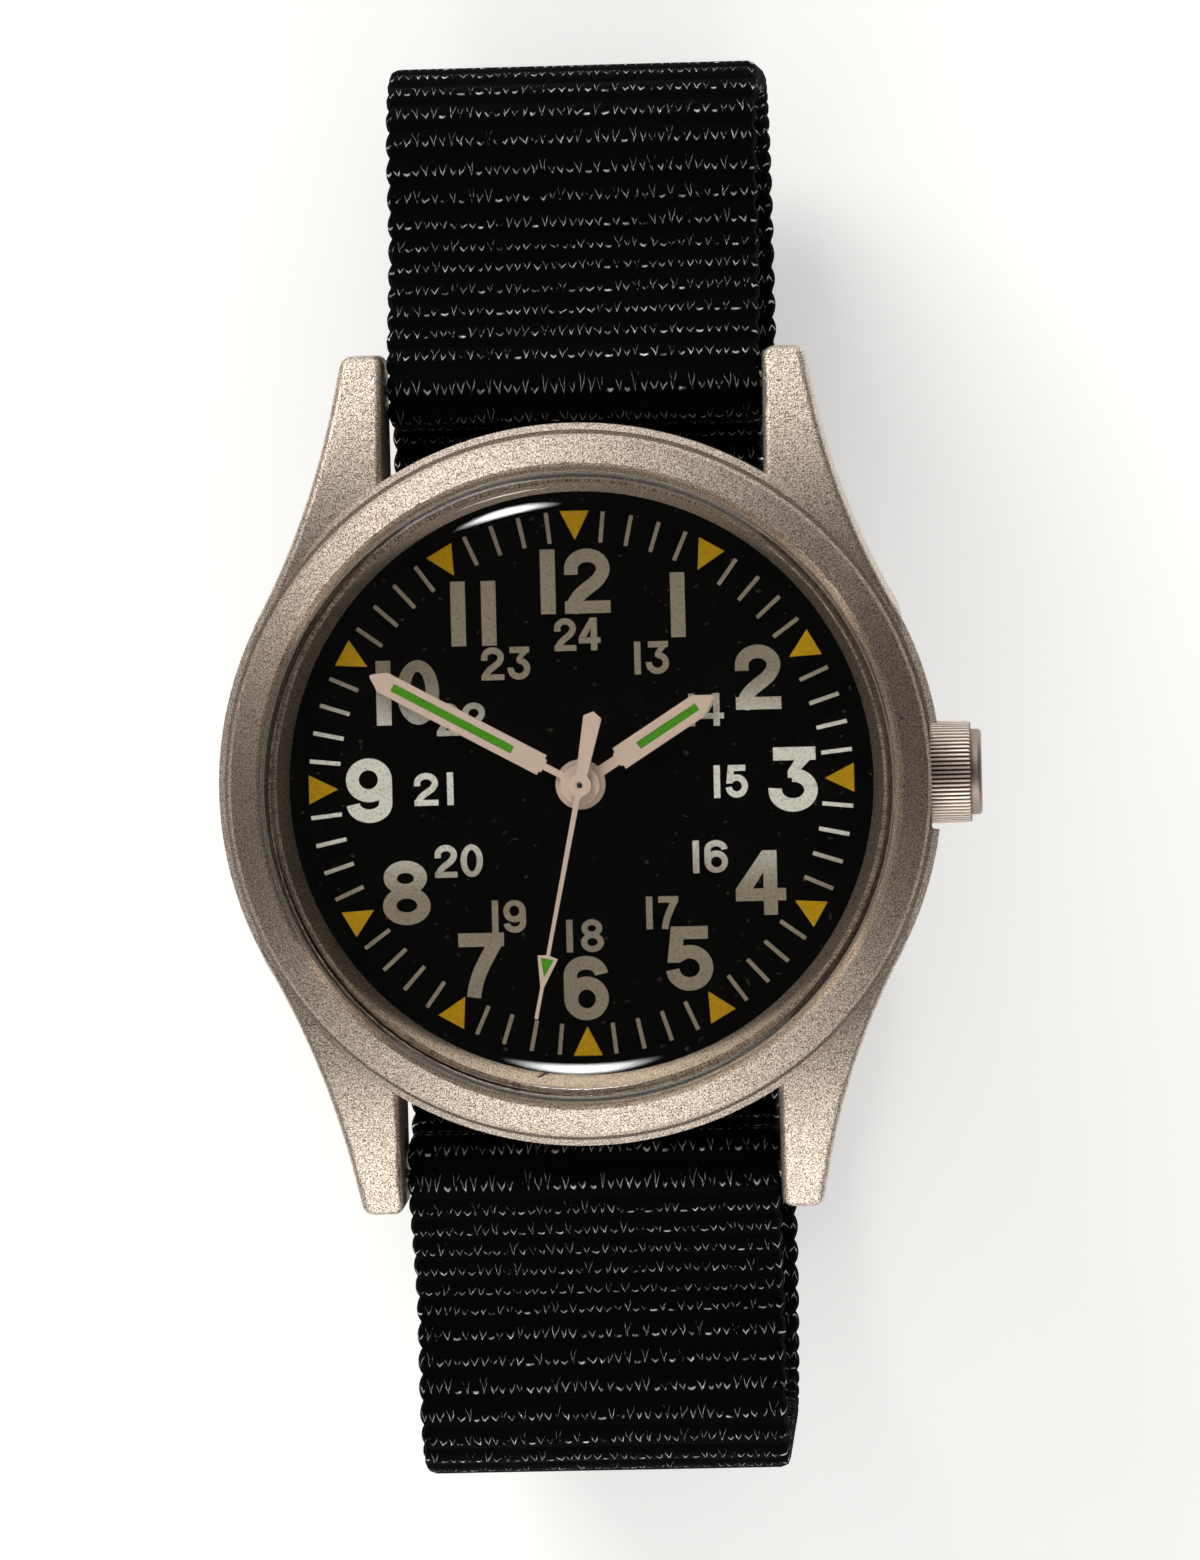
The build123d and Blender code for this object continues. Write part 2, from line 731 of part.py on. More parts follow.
def crystal():
    """The domed crystal: an upright wall, an eased shoulder and a shallow dome."""
    inner_r = CRYSTAL_R - CRYSTAL_WALL
    shoulder_r = CRYSTAL_R - CRYSTAL_CORNER
    shoulder_z = CRYSTAL_WALL_TOP + CRYSTAL_CORNER
    slant = CRYSTAL_CORNER * (1 - 0.5**0.5)
    inner_top = CRYSTAL_DOME_TOP - CRYSTAL_THICK
    inner_shoulder = CRYSTAL_WALL_TOP - CRYSTAL_CORNER
    edges = [
        Line((inner_r, 0, CRYSTAL_SEAT), (CRYSTAL_R, 0, CRYSTAL_SEAT)),
        Line((CRYSTAL_R, 0, CRYSTAL_SEAT), (CRYSTAL_R, 0, CRYSTAL_WALL_TOP)),
        ThreePointArc(
            (CRYSTAL_R, 0, CRYSTAL_WALL_TOP),
            (CRYSTAL_R - slant, 0, shoulder_z - slant),
            (shoulder_r, 0, shoulder_z),
        ),
        dome(shoulder_r, shoulder_z, CRYSTAL_DOME_TOP),
        Line((0, 0, CRYSTAL_DOME_TOP), (0, 0, inner_top)),
        dome(inner_r, inner_shoulder, inner_top),
        Line((inner_r, 0, inner_shoulder), (inner_r, 0, CRYSTAL_SEAT)),
    ]
    return revolve(make_face(Wire(edges)), Axis.Z)


def rehaut_ring():
    """The sloping flange ring that rests on the dial's edge."""
    top = CRYSTAL_SEAT - SLIP
    top_r = CRYSTAL_R - CRYSTAL_WALL - FLANGE_TOP_STEP
    low = DIAL_TOP + FIT
    outer = DIAL_R + SLIP
    return turned([(FLANGE_R, low), (outer, low), (outer, top), (top_r, top)])


def dial():
    """The dial disc with its centre hole."""
    return disc(DIAL_R, SEAT_HEIGHT + FIT, DIAL_TOP, CENTRE, DIAL_HOLE_R)


def case_back():
    """The screwed back, hollow inside, with key notches round its edge."""
    body = turned(
        [
            (0, 0),
            (BACK_R - BACK_EDGE, 0),
            (BACK_R, BACK_EDGE),
            (BACK_R, BACK_FLANGE_T - FIT),
            (BACK_SPIGOT_R, BACK_FLANGE_T - FIT),
            (BACK_SPIGOT_R, BACK_FLANGE_T + BACK_SPIGOT_H),
            (BACK_INNER_R, BACK_FLANGE_T + BACK_SPIGOT_H),
            (BACK_INNER_R, BACK_FLOOR),
            (0, BACK_FLOOR),
        ]
    )
    notch = block(
        (BACK_R - KEY_NOTCH_REACH, BACK_R + CUT),
        (-KEY_NOTCH_W / 2, KEY_NOTCH_W / 2),
        (-CUT, KEY_NOTCH_DEPTH),
    )
    for k in range(KEY_NOTCHES):
        body -= Rot(0, 0, (k + 0.5) * 360 / KEY_NOTCHES) * notch
    return body


def case_back_gasket():
    """The flat rubber ring between the back's flange and the case."""
    return disc(GASKET_OUTER_R, BACK_FLANGE_T, BACK_FLANGE_T + GASKET_T, CENTRE, GASKET_INNER_R)


def crown_tube():
    """The tube pressed in the case that guides the stem and carries the crown's seal."""
    return rod(TUBE_R, TUBE_START_X, TUBE_END_X, (0, STEM_HEIGHT), TUBE_BORE_R)


def crown():
    """The knurled crown with its stepped cap, seal chamber and threaded hole."""
    grip_end = CROWN_START + CROWN_GRIP_L
    cap_end = grip_end + CROWN_CAP_L
    axis = (0, STEM_HEIGHT)
    grip = toothed_grip(CROWN_START, grip_end)
    cap = rod(CROWN_CAP_R, grip_end, cap_end, axis)
    cap = fillet(cap.edges().sort_by(Axis.X)[-1], CROWN_CAP_ROUND)
    chamber_end = TUBE_END_X + 2 * SLIP
    body = grip + cap - rod(TUBE_R + 2 * SLIP, CROWN_START - CUT, chamber_end, axis)
    seal_start = CROWN_START + SEAL_T
    body -= rod(TUBE_R + SLIP + SEAL_WALL, seal_start, seal_start + SEAL_T + SLIP, axis)
    return body - rod(STEM_R + FIT, chamber_end - CUT, chamber_end + THREAD_L, axis)


def toothed_grip(start_x, end_x):
    """The crown's grip: a round bar with fine straight ribs and eased ends."""
    step = 360 / CROWN_TEETH
    inner = CROWN_R - CROWN_TOOTH_H
    outline = []
    for tooth in range(CROWN_TEETH):
        for radius, share in zip((inner, CROWN_R, CROWN_R, inner), CROWN_TOOTH_SHARES):
            outline.append(polar(radius, (tooth + share) * step))
    ribbed = plate_of(outline, 0, end_x - start_x)
    length = end_x - start_x
    eased = turned(
        [
            (0, 0),
            (CROWN_R - CROWN_TOOTH_H, 0),
            (CROWN_R, CROWN_TOOTH_H),
            (CROWN_R, length - CROWN_TOOTH_H),
            (CROWN_R - CROWN_TOOTH_H, length),
            (0, length),
        ]
    )
    return Pos(start_x, 0, STEM_HEIGHT) * Rot(0, 90, 0) * (ribbed & eased)


def crown_seal():
    """The rubber ring between the crown and its tube."""
    start = CROWN_START + SEAL_T
    outer = TUBE_R + SEAL_WALL
    return rod(outer, start, start + SEAL_T, (0, STEM_HEIGHT), TUBE_R + FIT)


def stem():
    """The winding stem, screwed into the crown."""
    end = TUBE_END_X + 2 * SLIP + THREAD_L - SLIP
    return rod(STEM_R, STEM_START_X, end, (0, STEM_HEIGHT))


def radial_pinion(start_x, length, radius):
    """A pinion on the stem, with straight teeth round it."""
    body = toothed(WINDING_PINION_TEETH, radius, 0, length)
    body -= disc(STEM_R + PIVOT_FIT, -CUT, length + CUT)
    return Pos(start_x, 0, STEM_HEIGHT) * Rot(0, 90, 0) * body


def blade_hand(length, shoulder, start, width, neck_w, hub_r, slot, bore_r, level):
    """An hour or minute hand along +Y: hub, neck, stepped heel, slotted blade and tip."""
    neck = neck_w / 2
    half = width / 2
    heel = half * HEEL_SHARE
    outline = [
        (neck, 0),
        (neck, start - HEEL_L),
        (heel, start - HEEL_L),
        (heel, start),
        (half, start),
        (half, shoulder),
        (TIP_W / 2, length),
        (-TIP_W / 2, length),
        (-half, shoulder),
        (-half, start),
        (-heel, start),
        (-heel, start - HEEL_L),
        (-neck, start - HEEL_L),
        (-neck, 0),
    ]
    body = plate_of(outline, level, level + HAND_T) + disc(hub_r, level, level + HAND_T)
    slot_start, slot_end, slot_w = slot
    body -= block((-slot_w / 2, slot_w / 2), (slot_start, slot_end), (level - CUT, level + CUT))
    return body - disc(bore_r, level - CUT, level + CUT)


def lume_bar(slot, level):
    """The luminous filling of a blade's slot."""
    slot_start, slot_end, slot_w = slot
    half = slot_w / 2 - FIT
    high = level + HAND_T * LUME_DEPTH_SHARE
    return block((-half, half), (slot_start + FIT, slot_end - FIT), (level, high))


def second_hand():
    """The second hand along +Y: tail, hub with its collar, thin stem and arrow head."""
    stem_half = SECOND_STEM_W / 2
    tip_half = SECOND_TIP_W / 2
    tail_half = SECOND_TAIL_W / 2
    tail_end = SECOND_TAIL - SECOND_TAIL_TIP
    high = SECOND_LEVEL + SECOND_T
    outline = [
        (stem_half, 0),
        (tip_half, ARROW_START),
        (ARROW_W / 2, ARROW_START + tip_half),
        (tip_half, ARROW_END),
        (tip_half, SECOND_LENGTH),
        (-tip_half, SECOND_LENGTH),
        (-tip_half, ARROW_END),
        (-ARROW_W / 2, ARROW_START + tip_half),
        (-tip_half, ARROW_START),
        (-stem_half, 0),
        (-SECOND_TAIL_NECK_W / 2, 0),
        (-tail_half, -tail_end),
        (0, -SECOND_TAIL),
        (tail_half, -tail_end),
        (SECOND_TAIL_NECK_W / 2, 0),
    ]
    body = plate_of(outline, SECOND_LEVEL, high)
    body += disc(SECOND_HUB_R, MINUTE_LEVEL + HAND_T + 2 * SLIP, high)
    window = plate_of(arrow_window(0.0), SECOND_LEVEL - CUT, high + CUT)
    body -= disc(SECOND_SINK_R, high - SECOND_SINK, high + CUT)
    return body - window - disc(SECOND_PIVOT_R + FIT / 2, 0, high + CUT)


def arrow_window(inset):
    """The triangle inside the second hand's arrow head, drawn in by an inset."""
    start, end, width = ARROW_WINDOW
    half = width / 2 - inset
    return [(-half, start + inset), (half, start + inset), (0, end - 2 * inset)]


def second_lume():
    """The luminous filling of the arrow head."""
    return plate_of(arrow_window(FIT), SECOND_LEVEL, SECOND_LEVEL + SECOND_T * LUME_DEPTH_SHARE)


def hour_wheel():
    """The hour wheel and its pipe, which carries the hour hand."""
    high = HOUR_WHEEL_LOW + MOTION_T
    radius = pitch_r(HOUR_WHEEL_TEETH, HOUR_MODULE)
    phase = gap_phase(CENTRE, MINUTE_WHEEL_AT, HOUR_WHEEL_TEETH)
    wheel = toothed(HOUR_WHEEL_TEETH, radius, HOUR_WHEEL_LOW, high, CENTRE, phase)
    wheel += disc(HOUR_PIPE_R, HOUR_WHEEL_LOW, HOUR_LEVEL + HAND_T + PIPE_PROUD)
    return wheel - disc(HOUR_PIPE_BORE_R, MOTION_LOW, MINUTE_LEVEL)


def cannon_pinion():
    """The cannon pinion, whose pipe carries the minute hand."""
    radius = pitch_r(CANNON_TEETH, CANNON_MODULE)
    phase = tooth_phase(CENTRE, MINUTE_WHEEL_AT)
    body = toothed(CANNON_TEETH, radius, MOTION_LOW, MOTION_LOW + MOTION_T, CENTRE, phase)
    top = MINUTE_LEVEL + HAND_T + PIPE_PROUD
    body += disc(CANNON_R, MOTION_LOW + MOTION_T, top)
    return body - disc(CANNON_BORE_R, MOTION_LOW - CUT, top + CUT)


def minute_wheel():
    """The minute wheel and its pinion, on a post of the main plate."""
    high = MOTION_LOW + MOTION_T
    radius = pitch_r(MINUTE_WHEEL_TEETH, CANNON_MODULE)
    phase = gap_phase(MINUTE_WHEEL_AT, CENTRE, MINUTE_WHEEL_TEETH)
    wheel = toothed(MINUTE_WHEEL_TEETH, radius, MOTION_LOW, high, MINUTE_WHEEL_AT, phase)
    pinion_r = pitch_r(MINUTE_PINION_TEETH, HOUR_MODULE)
    pinion_phase = tooth_phase(MINUTE_WHEEL_AT, CENTRE)
    wheel += toothed(
        MINUTE_PINION_TEETH,
        pinion_r,
        high,
        HOUR_WHEEL_LOW + MOTION_T,
        MINUTE_WHEEL_AT,
        pinion_phase,
    )
    return wheel - disc(POST_R + PIVOT_FIT, MOTION_LOW - CUT, SEAT_HEIGHT, MINUTE_WHEEL_AT)


def train_wheel(point, teeth, radius, low, phase, pinion, pinion_low, pinion_high, pinion_phase):
    """A wheel with its pinion and staff; pinion is its (teeth, pitch radius)."""
    high = low + WHEEL_T
    wheel = toothed(teeth, radius, low, high, point, phase)
    rim_r = radius * WHEEL_RIM_SHARE
    wheel = crossed_out(wheel, rim_r, pinion[1] * WHEEL_HUB_SHARE, low, high, point)
    wheel += toothed(pinion[0], pinion[1], pinion_low, pinion_high, point, pinion_phase)
    return wheel + staff(point)


def seconds_wheel():
    """The centre seconds wheel, whose long staff carries the second hand."""
    radius = pitch_r(SECONDS_TEETH, FINE_MODULE)
    pinion = (SECONDS_PINION_TEETH, pitch_r(SECONDS_PINION_TEETH, TRAIN_MODULE))
    wheel = train_wheel(
        CENTRE,
        SECONDS_TEETH,
        radius,
        SECONDS_WHEEL_LOW,
        tooth_phase(CENTRE, ESCAPE_AT),
        pinion,
        THIRD_WHEEL_LOW - PINION_SPAN / 4,
        THIRD_WHEEL_LOW + PINION_SPAN / 2,
        tooth_phase(CENTRE, THIRD_AT),
    )
    wheel += disc(SECOND_STAFF_R, PLATE_LOW - SLIP, CENTRE_TUBE_TOP)
    pivot_top = SECOND_LEVEL + SECOND_T - SECOND_SINK / 2
    return wheel + disc(SECOND_PIVOT_R, CENTRE_TUBE_TOP, pivot_top)


def third_wheel():
    """The third wheel."""
    pinion = (THIRD_PINION_TEETH, pitch_r(THIRD_PINION_TEETH, TRAIN_MODULE))
    return train_wheel(
        THIRD_AT,
        THIRD_TEETH,
        pitch_r(THIRD_TEETH, TRAIN_MODULE),
        THIRD_WHEEL_LOW,
        gap_phase(THIRD_AT, CENTRE, THIRD_TEETH),
        pinion,
        SECOND_WHEEL_LOW - PINION_SPAN / 4,
        THIRD_WHEEL_LOW,
        tooth_phase(THIRD_AT, SECOND_AT),
    )


def second_wheel():
    """The second wheel, driven by the barrel."""
    pinion = (SECOND_PINION_TEETH, pitch_r(SECOND_PINION_TEETH, BARREL_MODULE))
    return train_wheel(
        SECOND_AT,
        SECOND_TEETH,
        pitch_r(SECOND_TEETH, TRAIN_MODULE),
        SECOND_WHEEL_LOW,
        gap_phase(SECOND_AT, THIRD_AT, SECOND_TEETH),
        pinion,
        BARREL_LOW,
        BARREL_LOW + PINION_SPAN,
        tooth_phase(SECOND_AT, BARREL_AT),
    )


def barrel():
    """The toothed drum that holds the mainspring."""
    rim_high = BARREL_LOW + BARREL_RIM_H
    radius = pitch_r(BARREL_TEETH, BARREL_MODULE)
    phase = gap_phase(BARREL_AT, SECOND_AT, BARREL_TEETH)
    body = toothed(BARREL_TEETH, radius, BARREL_LOW, rim_high, BARREL_AT, phase)
    high = BARREL_LOW + BARREL_H
    body += disc(BARREL_DRUM_R, BARREL_LOW, high, BARREL_AT)
    inside = BARREL_DRUM_R - BARREL_WALL
    body -= disc(inside, BARREL_LOW + BARREL_WALL, high - BARREL_WALL, BARREL_AT)
    return body - disc(ARBOR_R + PIVOT_FIT, BARREL_LOW - CUT, high + CUT, BARREL_AT)


def mainspring():
    """The mainspring, coiled inside the barrel."""
    low = BARREL_LOW + BARREL_WALL + SLIP
    height = BARREL_H - 2 * BARREL_WALL - 2 * SLIP
    start = ARBOR_R + SPRING_PITCH
    return strip_spiral(
        start, SPRING_PITCH, SPRING_TURNS, SPRING_STRIP, low, height, BARREL_AT
    )


def barrel_arbor():
    """The barrel's arbor, which carries the ratchet wheel."""
    body = disc(ARBOR_R, BRIDGE_HIGH + FIT, PLATE_LOW - SLIP, BARREL_AT)
    low = WINDING_LOW - SLIP
    return body + disc(ARBOR_R / 2, low, PIVOT_HIGH, BARREL_AT)


def ratchet_wheel():
    """The ratchet wheel on the barrel arbor."""
    phase = tooth_phase(BARREL_AT, CROWN_WHEEL_AT)
    high = WINDING_LOW + WINDING_T
    body = toothed(RATCHET_TEETH, RATCHET_R, WINDING_LOW, high, BARREL_AT, phase)
    return body - disc(ARBOR_R / 2 + FIT, WINDING_LOW - CUT, high + CUT, BARREL_AT)


def crown_wheel():
    """The crown wheel, which turns on its seat on the barrel bridge."""
    phase = gap_phase(CROWN_WHEEL_AT, BARREL_AT, CROWN_WHEEL_TEETH)
    high = WINDING_LOW + WINDING_T
    radius = hypot(BARREL_AT[0] - CROWN_WHEEL_X, BARREL_AT[1]) - RATCHET_R
    body = toothed(CROWN_WHEEL_TEETH, radius, WINDING_LOW, high, CROWN_WHEEL_AT, phase)
    return body - disc(CROWN_SEAT_R + PIVOT_FIT, WINDING_LOW - CUT, high + CUT, CROWN_WHEEL_AT)


def click_places():
    """The click's pivot and the place of its nose beside the ratchet wheel."""
    nose = polar(RATCHET_R + LEVER_W + 2 * SLIP, CLICK_NOSE_BEARING, BARREL_AT)
    return polar(CLICK_L, CLICK_BEARING, nose), nose


def click():
    """The click, which holds the ratchet wheel."""
    pivot, nose = click_places()
    high = WINDING_LOW + WINDING_T
    body = bar_between(pivot, nose, LEVER_W, WINDING_LOW, high)
    body += disc(2 * LEVER_W, WINDING_LOW, high, pivot)
    return body - disc(STAFF_R + PIVOT_FIT, WINDING_LOW - CUT, high + CUT, pivot)


def escape_wheel():
    """The escape wheel with its saw teeth, pinion and staff."""
    step = 360 / ESCAPE_TEETH
    root = ESCAPE_R - ESCAPE_TOOTH_H
    outline = []
    for tooth in range(ESCAPE_TEETH):
        for radius, share in zip((root, ESCAPE_R, ESCAPE_R, root), ESCAPE_TOOTH_SHARES):
            outline.append(polar(radius, (tooth + share) * step, ESCAPE_AT))
    high = ESCAPE_LOW + WHEEL_T
    wheel = plate_of(outline, ESCAPE_LOW, high)
    rim_r = root * ESCAPE_RIM_SHARE
    wheel = crossed_out(wheel, rim_r, ESCAPE_HUB_R, ESCAPE_LOW, high, ESCAPE_AT)
    wheel += toothed(
        ESCAPE_PINION_TEETH,
        pitch_r(ESCAPE_PINION_TEETH, FINE_MODULE),
        SECONDS_WHEEL_LOW - PINION_SPAN / 2,
        SECONDS_WHEEL_LOW + PINION_SPAN / 2,
        ESCAPE_AT,
        gap_phase(ESCAPE_AT, CENTRE, ESCAPE_PINION_TEETH),
    )
    return wheel + staff(ESCAPE_AT)


def pallet_fork():
    """The pallet fork: anchor, two pallet stones, lever and staff."""
    low = ESCAPE_LOW
    high = low + PALLET_T
    near = ESCAPE_R + LEVER_W / 2
    along = BALANCE_BEARING
    anchor_at = polar(near, along, ESCAPE_AT)
    left = polar(PALLET_ARM, along + 90, anchor_at)
    right = polar(PALLET_ARM, along - 90, anchor_at)
    body = bar_between(left, right, LEVER_W, low, high)
    fork_end = polar(BALANCE_REACH - ROLLER_R - LEVER_W, along, ESCAPE_AT)
    body += bar_between(anchor_at, fork_end, LEVER_W, low, high)
    for end in (left, right):
        body += bar_between(end, polar(LEVER_W, along + 180, end), LEVER_W, low, high)
    staff_low = PALLET_BRIDGE_LOW + PALLET_BRIDGE_T + SLIP
    pivot_high = PALLET_SHELF_LOW + PALLET_BRIDGE_T - SLIP
    body += disc(STAFF_R, staff_low, PALLET_SHELF_LOW - SLIP, PALLET_AT)
    return body + disc(PIVOT_R, PALLET_BRIDGE_LOW + SLIP, pivot_high, PALLET_AT)


def balance():
    """The balance wheel with its two arms, staff and roller."""
    high = BALANCE_LOW + BALANCE_T
    rim = disc(BALANCE_R, BALANCE_LOW, high, BALANCE_AT, BALANCE_R - BALANCE_RIM_W)
    arm = Box(2 * BALANCE_R - BALANCE_RIM_W, SPOKE_W, BALANCE_T / 2)
    rim += at(BALANCE_AT, BALANCE_LOW + BALANCE_T / 2) * arm
    rim += disc(COLLET_R, HAIRSPRING_LOW, high, BALANCE_AT)
    rim += disc(ROLLER_R, ROLLER_LOW, ROLLER_LOW + ROLLER_T, BALANCE_AT)
    return rim + staff(BALANCE_AT)


def hairspring():
    """The hairspring, coiled round the balance collet."""
    start = COLLET_R + HAIRSPRING_PITCH / 2 + HAIRSPRING_STRIP
    return strip_spiral(
        start,
        HAIRSPRING_PITCH,
        HAIRSPRING_TURNS,
        HAIRSPRING_STRIP,
        HAIRSPRING_LOW,
        HAIRSPRING_T,
        BALANCE_AT,
    )


def screw_places():
    """The screws' places round the rim."""
    return [polar((RIM_INNER_R + PLATE_R) / 2, bearing) for bearing in SCREW_BEARINGS]


def pinion_window(low, high):
    """A cutter that leaves room for the two pinions on the stem."""
    half = WINDING_PINION_R + 4 * SLIP
    window_x = (SLIDING_PINION_X - 2 * SLIP, WINDING_PINION_X + WINDING_PINION_L + 2 * SLIP)
    return block(window_x, (-half, half), (low - CUT, high + CUT))


def main_plate():
    """The plate that carries the train, with its rim, motion work recess and stem window."""
    body = disc(PLATE_R, BRIDGE_HIGH + FIT, PLATE_HIGH)
    body -= disc(RIM_INNER_R, 0, PLATE_LOW)
    hour_r = pitch_r(HOUR_WHEEL_TEETH, HOUR_MODULE) + 3 * SLIP
    minute_r = pitch_r(MINUTE_WHEEL_TEETH, CANNON_MODULE) + 3 * SLIP
    body -= disc(hour_r, RECESS_FLOOR, PLATE_HIGH + CUT)
    body -= disc(minute_r, RECESS_FLOOR, PLATE_HIGH + CUT, MINUTE_WHEEL_AT)
    body += disc(CENTRE_TUBE_R, PLATE_LOW, CENTRE_TUBE_TOP - SLIP)
    body -= disc(CENTRE_TUBE_BORE_R, PLATE_LOW - CUT, CENTRE_TUBE_TOP)
    body += disc(POST_R, RECESS_FLOOR - SLIP, HOUR_WHEEL_LOW + MOTION_T, MINUTE_WHEEL_AT)
    body -= pinion_window(PLATE_LOW, PLATE_HIGH)
    body -= rod(STEM_R + SLIP, RIM_INNER_R - CUT, PLATE_R + CUT, (0, STEM_HEIGHT))
    places = [THIRD_AT, SECOND_AT, ESCAPE_AT, BALANCE_AT]
    body = drill(body, PIVOT_R + PIVOT_FIT, places, PLATE_LOW, PLATE_HIGH)
    body = drill(body, ARBOR_R / 2 + PIVOT_FIT, [BARREL_AT], PLATE_LOW, PLATE_HIGH)
    for point in screw_places():
        body -= disc(SCREW_SHANK_R + FIT, BRIDGE_HIGH - CUT, BRIDGE_LOW + SCREW_DEPTH + SLIP, point)
    return body


def bridge(start, end, holes):
    """A sector of the bridge disc between two bearings from its hub; holes is (point, radius)s."""
    hub = polar(BRIDGE_HUB_REACH, BRIDGE_HUB_BEARING)
    far = 3 * PLATE_R
    step = (end - start) / BRIDGE_STEPS
    bend = [polar(far, start + step * k, hub) for k in range(BRIDGE_STEPS + 1)]
    sector = plate_of([hub] + bend, BRIDGE_LOW, BRIDGE_HIGH)
    trim = BRIDGE_GAP / 2
    for bearing in (start, end):
        slot = Box(2 * far, 2 * trim, CASE_TOP)
        sector -= at(hub) * Rot(0, 0, bearing) * slot
    body = disc(PLATE_R, BRIDGE_LOW, BRIDGE_HIGH) & sector
    for point, radius in holes:
        body -= disc(radius, BRIDGE_LOW - CUT, BRIDGE_HIGH + CUT, point)
    for point in screw_places():
        body -= disc(SCREW_SHANK_R + FIT, BRIDGE_LOW - CUT, BRIDGE_HIGH + CUT, point)
    return body


def barrel_bridge():
    """The bridge over the barrel and second wheel, with the crown wheel's seat."""
    hole = JEWEL_R + FIT
    holes = [(SECOND_AT, hole), (BARREL_AT, ARBOR_R / 2 + PIVOT_FIT)]
    body = bridge(BRIDGE_BEARINGS[0], BRIDGE_BEARINGS[1], holes)
    body -= pinion_window(BRIDGE_LOW, BRIDGE_HIGH)
    body += disc(CROWN_SEAT_R, WINDING_LOW - SLIP, BRIDGE_LOW, CROWN_WHEEL_AT)
    pivot, _ = click_places()
    return body + disc(STAFF_R, WINDING_LOW - SLIP, BRIDGE_LOW, pivot)


def train_bridge():
    """The bridge over the third, seconds and escape wheels."""
    hole = JEWEL_R + FIT
    holes = [(CENTRE, hole), (THIRD_AT, hole), (ESCAPE_AT, hole)]
    return bridge(BRIDGE_BEARINGS[1], BRIDGE_BEARINGS[2], holes)


def balance_cock():
    """The cock over the balance."""
    return bridge(BRIDGE_BEARINGS[2], BRIDGE_BEARINGS[3], [(BALANCE_AT, JEWEL_R + FIT)])


def pallet_bridge():
    """The two arms that carry the pallet staff, on a pillar from the main plate."""
    body = disc(PALLET_BRIDGE_W / 2, PALLET_BRIDGE_LOW, PLATE_LOW - FIT, PALLET_PILLAR_AT)
    for low in (PALLET_BRIDGE_LOW, PALLET_SHELF_LOW):
        high = low + PALLET_BRIDGE_T
        body += bar_between(PALLET_AT, PALLET_PILLAR_AT, PALLET_BRIDGE_W, low, high)
    return body - disc(PIVOT_R + PIVOT_FIT, BRIDGE_LOW, PLATE_LOW, PALLET_AT)


def jewels():
    """The bearing jewels set in the bridges, as a group of rings."""
    low = BRIDGE_HIGH - JEWEL_T - SLIP
    places = [CENTRE, THIRD_AT, SECOND_AT, ESCAPE_AT, BALANCE_AT]
    rings = [disc(JEWEL_R, low, low + JEWEL_T, p, PIVOT_R + PIVOT_FIT) for p in places]
    return Compound(rings)


def movement_screws():
    """The screws that hold the bridges, as a group."""
    head_low = BRIDGE_LOW - SCREW_HEAD_T
    group = []
    for point in screw_places():
        head = disc(SCREW_HEAD_R, head_low, BRIDGE_LOW - FIT, point)
        slot = Box(2 * SCREW_HEAD_R + CUT, SCREW_SLOT_W, SCREW_HEAD_T / 2)
        head -= at(point, head_low) * slot
        group.append(head + disc(SCREW_SHANK_R, BRIDGE_LOW - FIT, BRIDGE_LOW + SCREW_DEPTH, point))
    return Compound(group)


def setting_lever():
    """The lever that follows the stem when the crown is pulled."""
    low = PLATE_LOW - SETTING_LEVER_T - FIT
    high = PLATE_LOW - FIT
    start = (SETTING_LEVER_X, 0.0)
    end = polar(SETTING_LEVER_L, SETTING_LEVER_BEARING, start)
    return bar_between(start, end, SETTING_LEVER_W, low, high)


def movement_ring():
    """The ring that holds the movement in the case."""
    body = disc(HOLDER_OUTER_R, HOLDER_LOW, HOLDER_HIGH, CENTRE, HOLDER_INNER_R)
    return body - rod(STEM_R + 2 * SLIP, HOLDER_INNER_R - CUT, HOLDER_OUTER_R + CUT, (0, STEM_HEIGHT))


def bar_tube(side_y):
    """A spring bar's tube."""
    return rod(BAR_TUBE_R, -BAR_TUBE_HALF, BAR_TUBE_HALF, (side_y, BAR_HEIGHT), BAR_BORE_R)


def bar_tip(side_y, side_x):
    """A spring bar's tip: its rod in the tube, its flange and the pin in the lug."""
    place = (side_y, BAR_HEIGHT)
    body = rod(BAR_BORE_R - SLIP, BAR_ROD_START, BAR_FLANGE_X, place)
    body += rod(BAR_FLANGE_R, BAR_FLANGE_X, BAR_FLANGE_X + BAR_FLANGE_T, place)
    body += rod(BAR_PIN_R, BAR_FLANGE_X + BAR_FLANGE_T, BAR_PIN_REACH, place)
    return body if side_x > 0 else mirror(body, Plane.YZ)


def bar_spring(side_y):
    """The spring inside a spring bar, as a plain sleeve of its outer size."""
    outer = BAR_BORE_R - SLIP
    reach = BAR_ROD_START - BAR_SPRING_GAP
    return rod(outer, -reach, reach, (side_y, BAR_HEIGHT), outer - BAR_SPRING_WALL)


def z_at(depth):
    """The height of a depth in the strap's stack at the bottom of the loop."""
    return FLOOR_Z - depth


def fold_rise():
    """How far each leg of the buckle fold spreads from the pin at the fold's end."""
    half_gap = (LEG_OUT - LEG_IN) / 2
    reach = hypot(PINCH_REACH, half_gap)
    slope = asin(FOLD_R / reach) - asin(half_gap / reach)
    return half_gap + tan(slope) * (PINCH_REACH + FOLD_R)


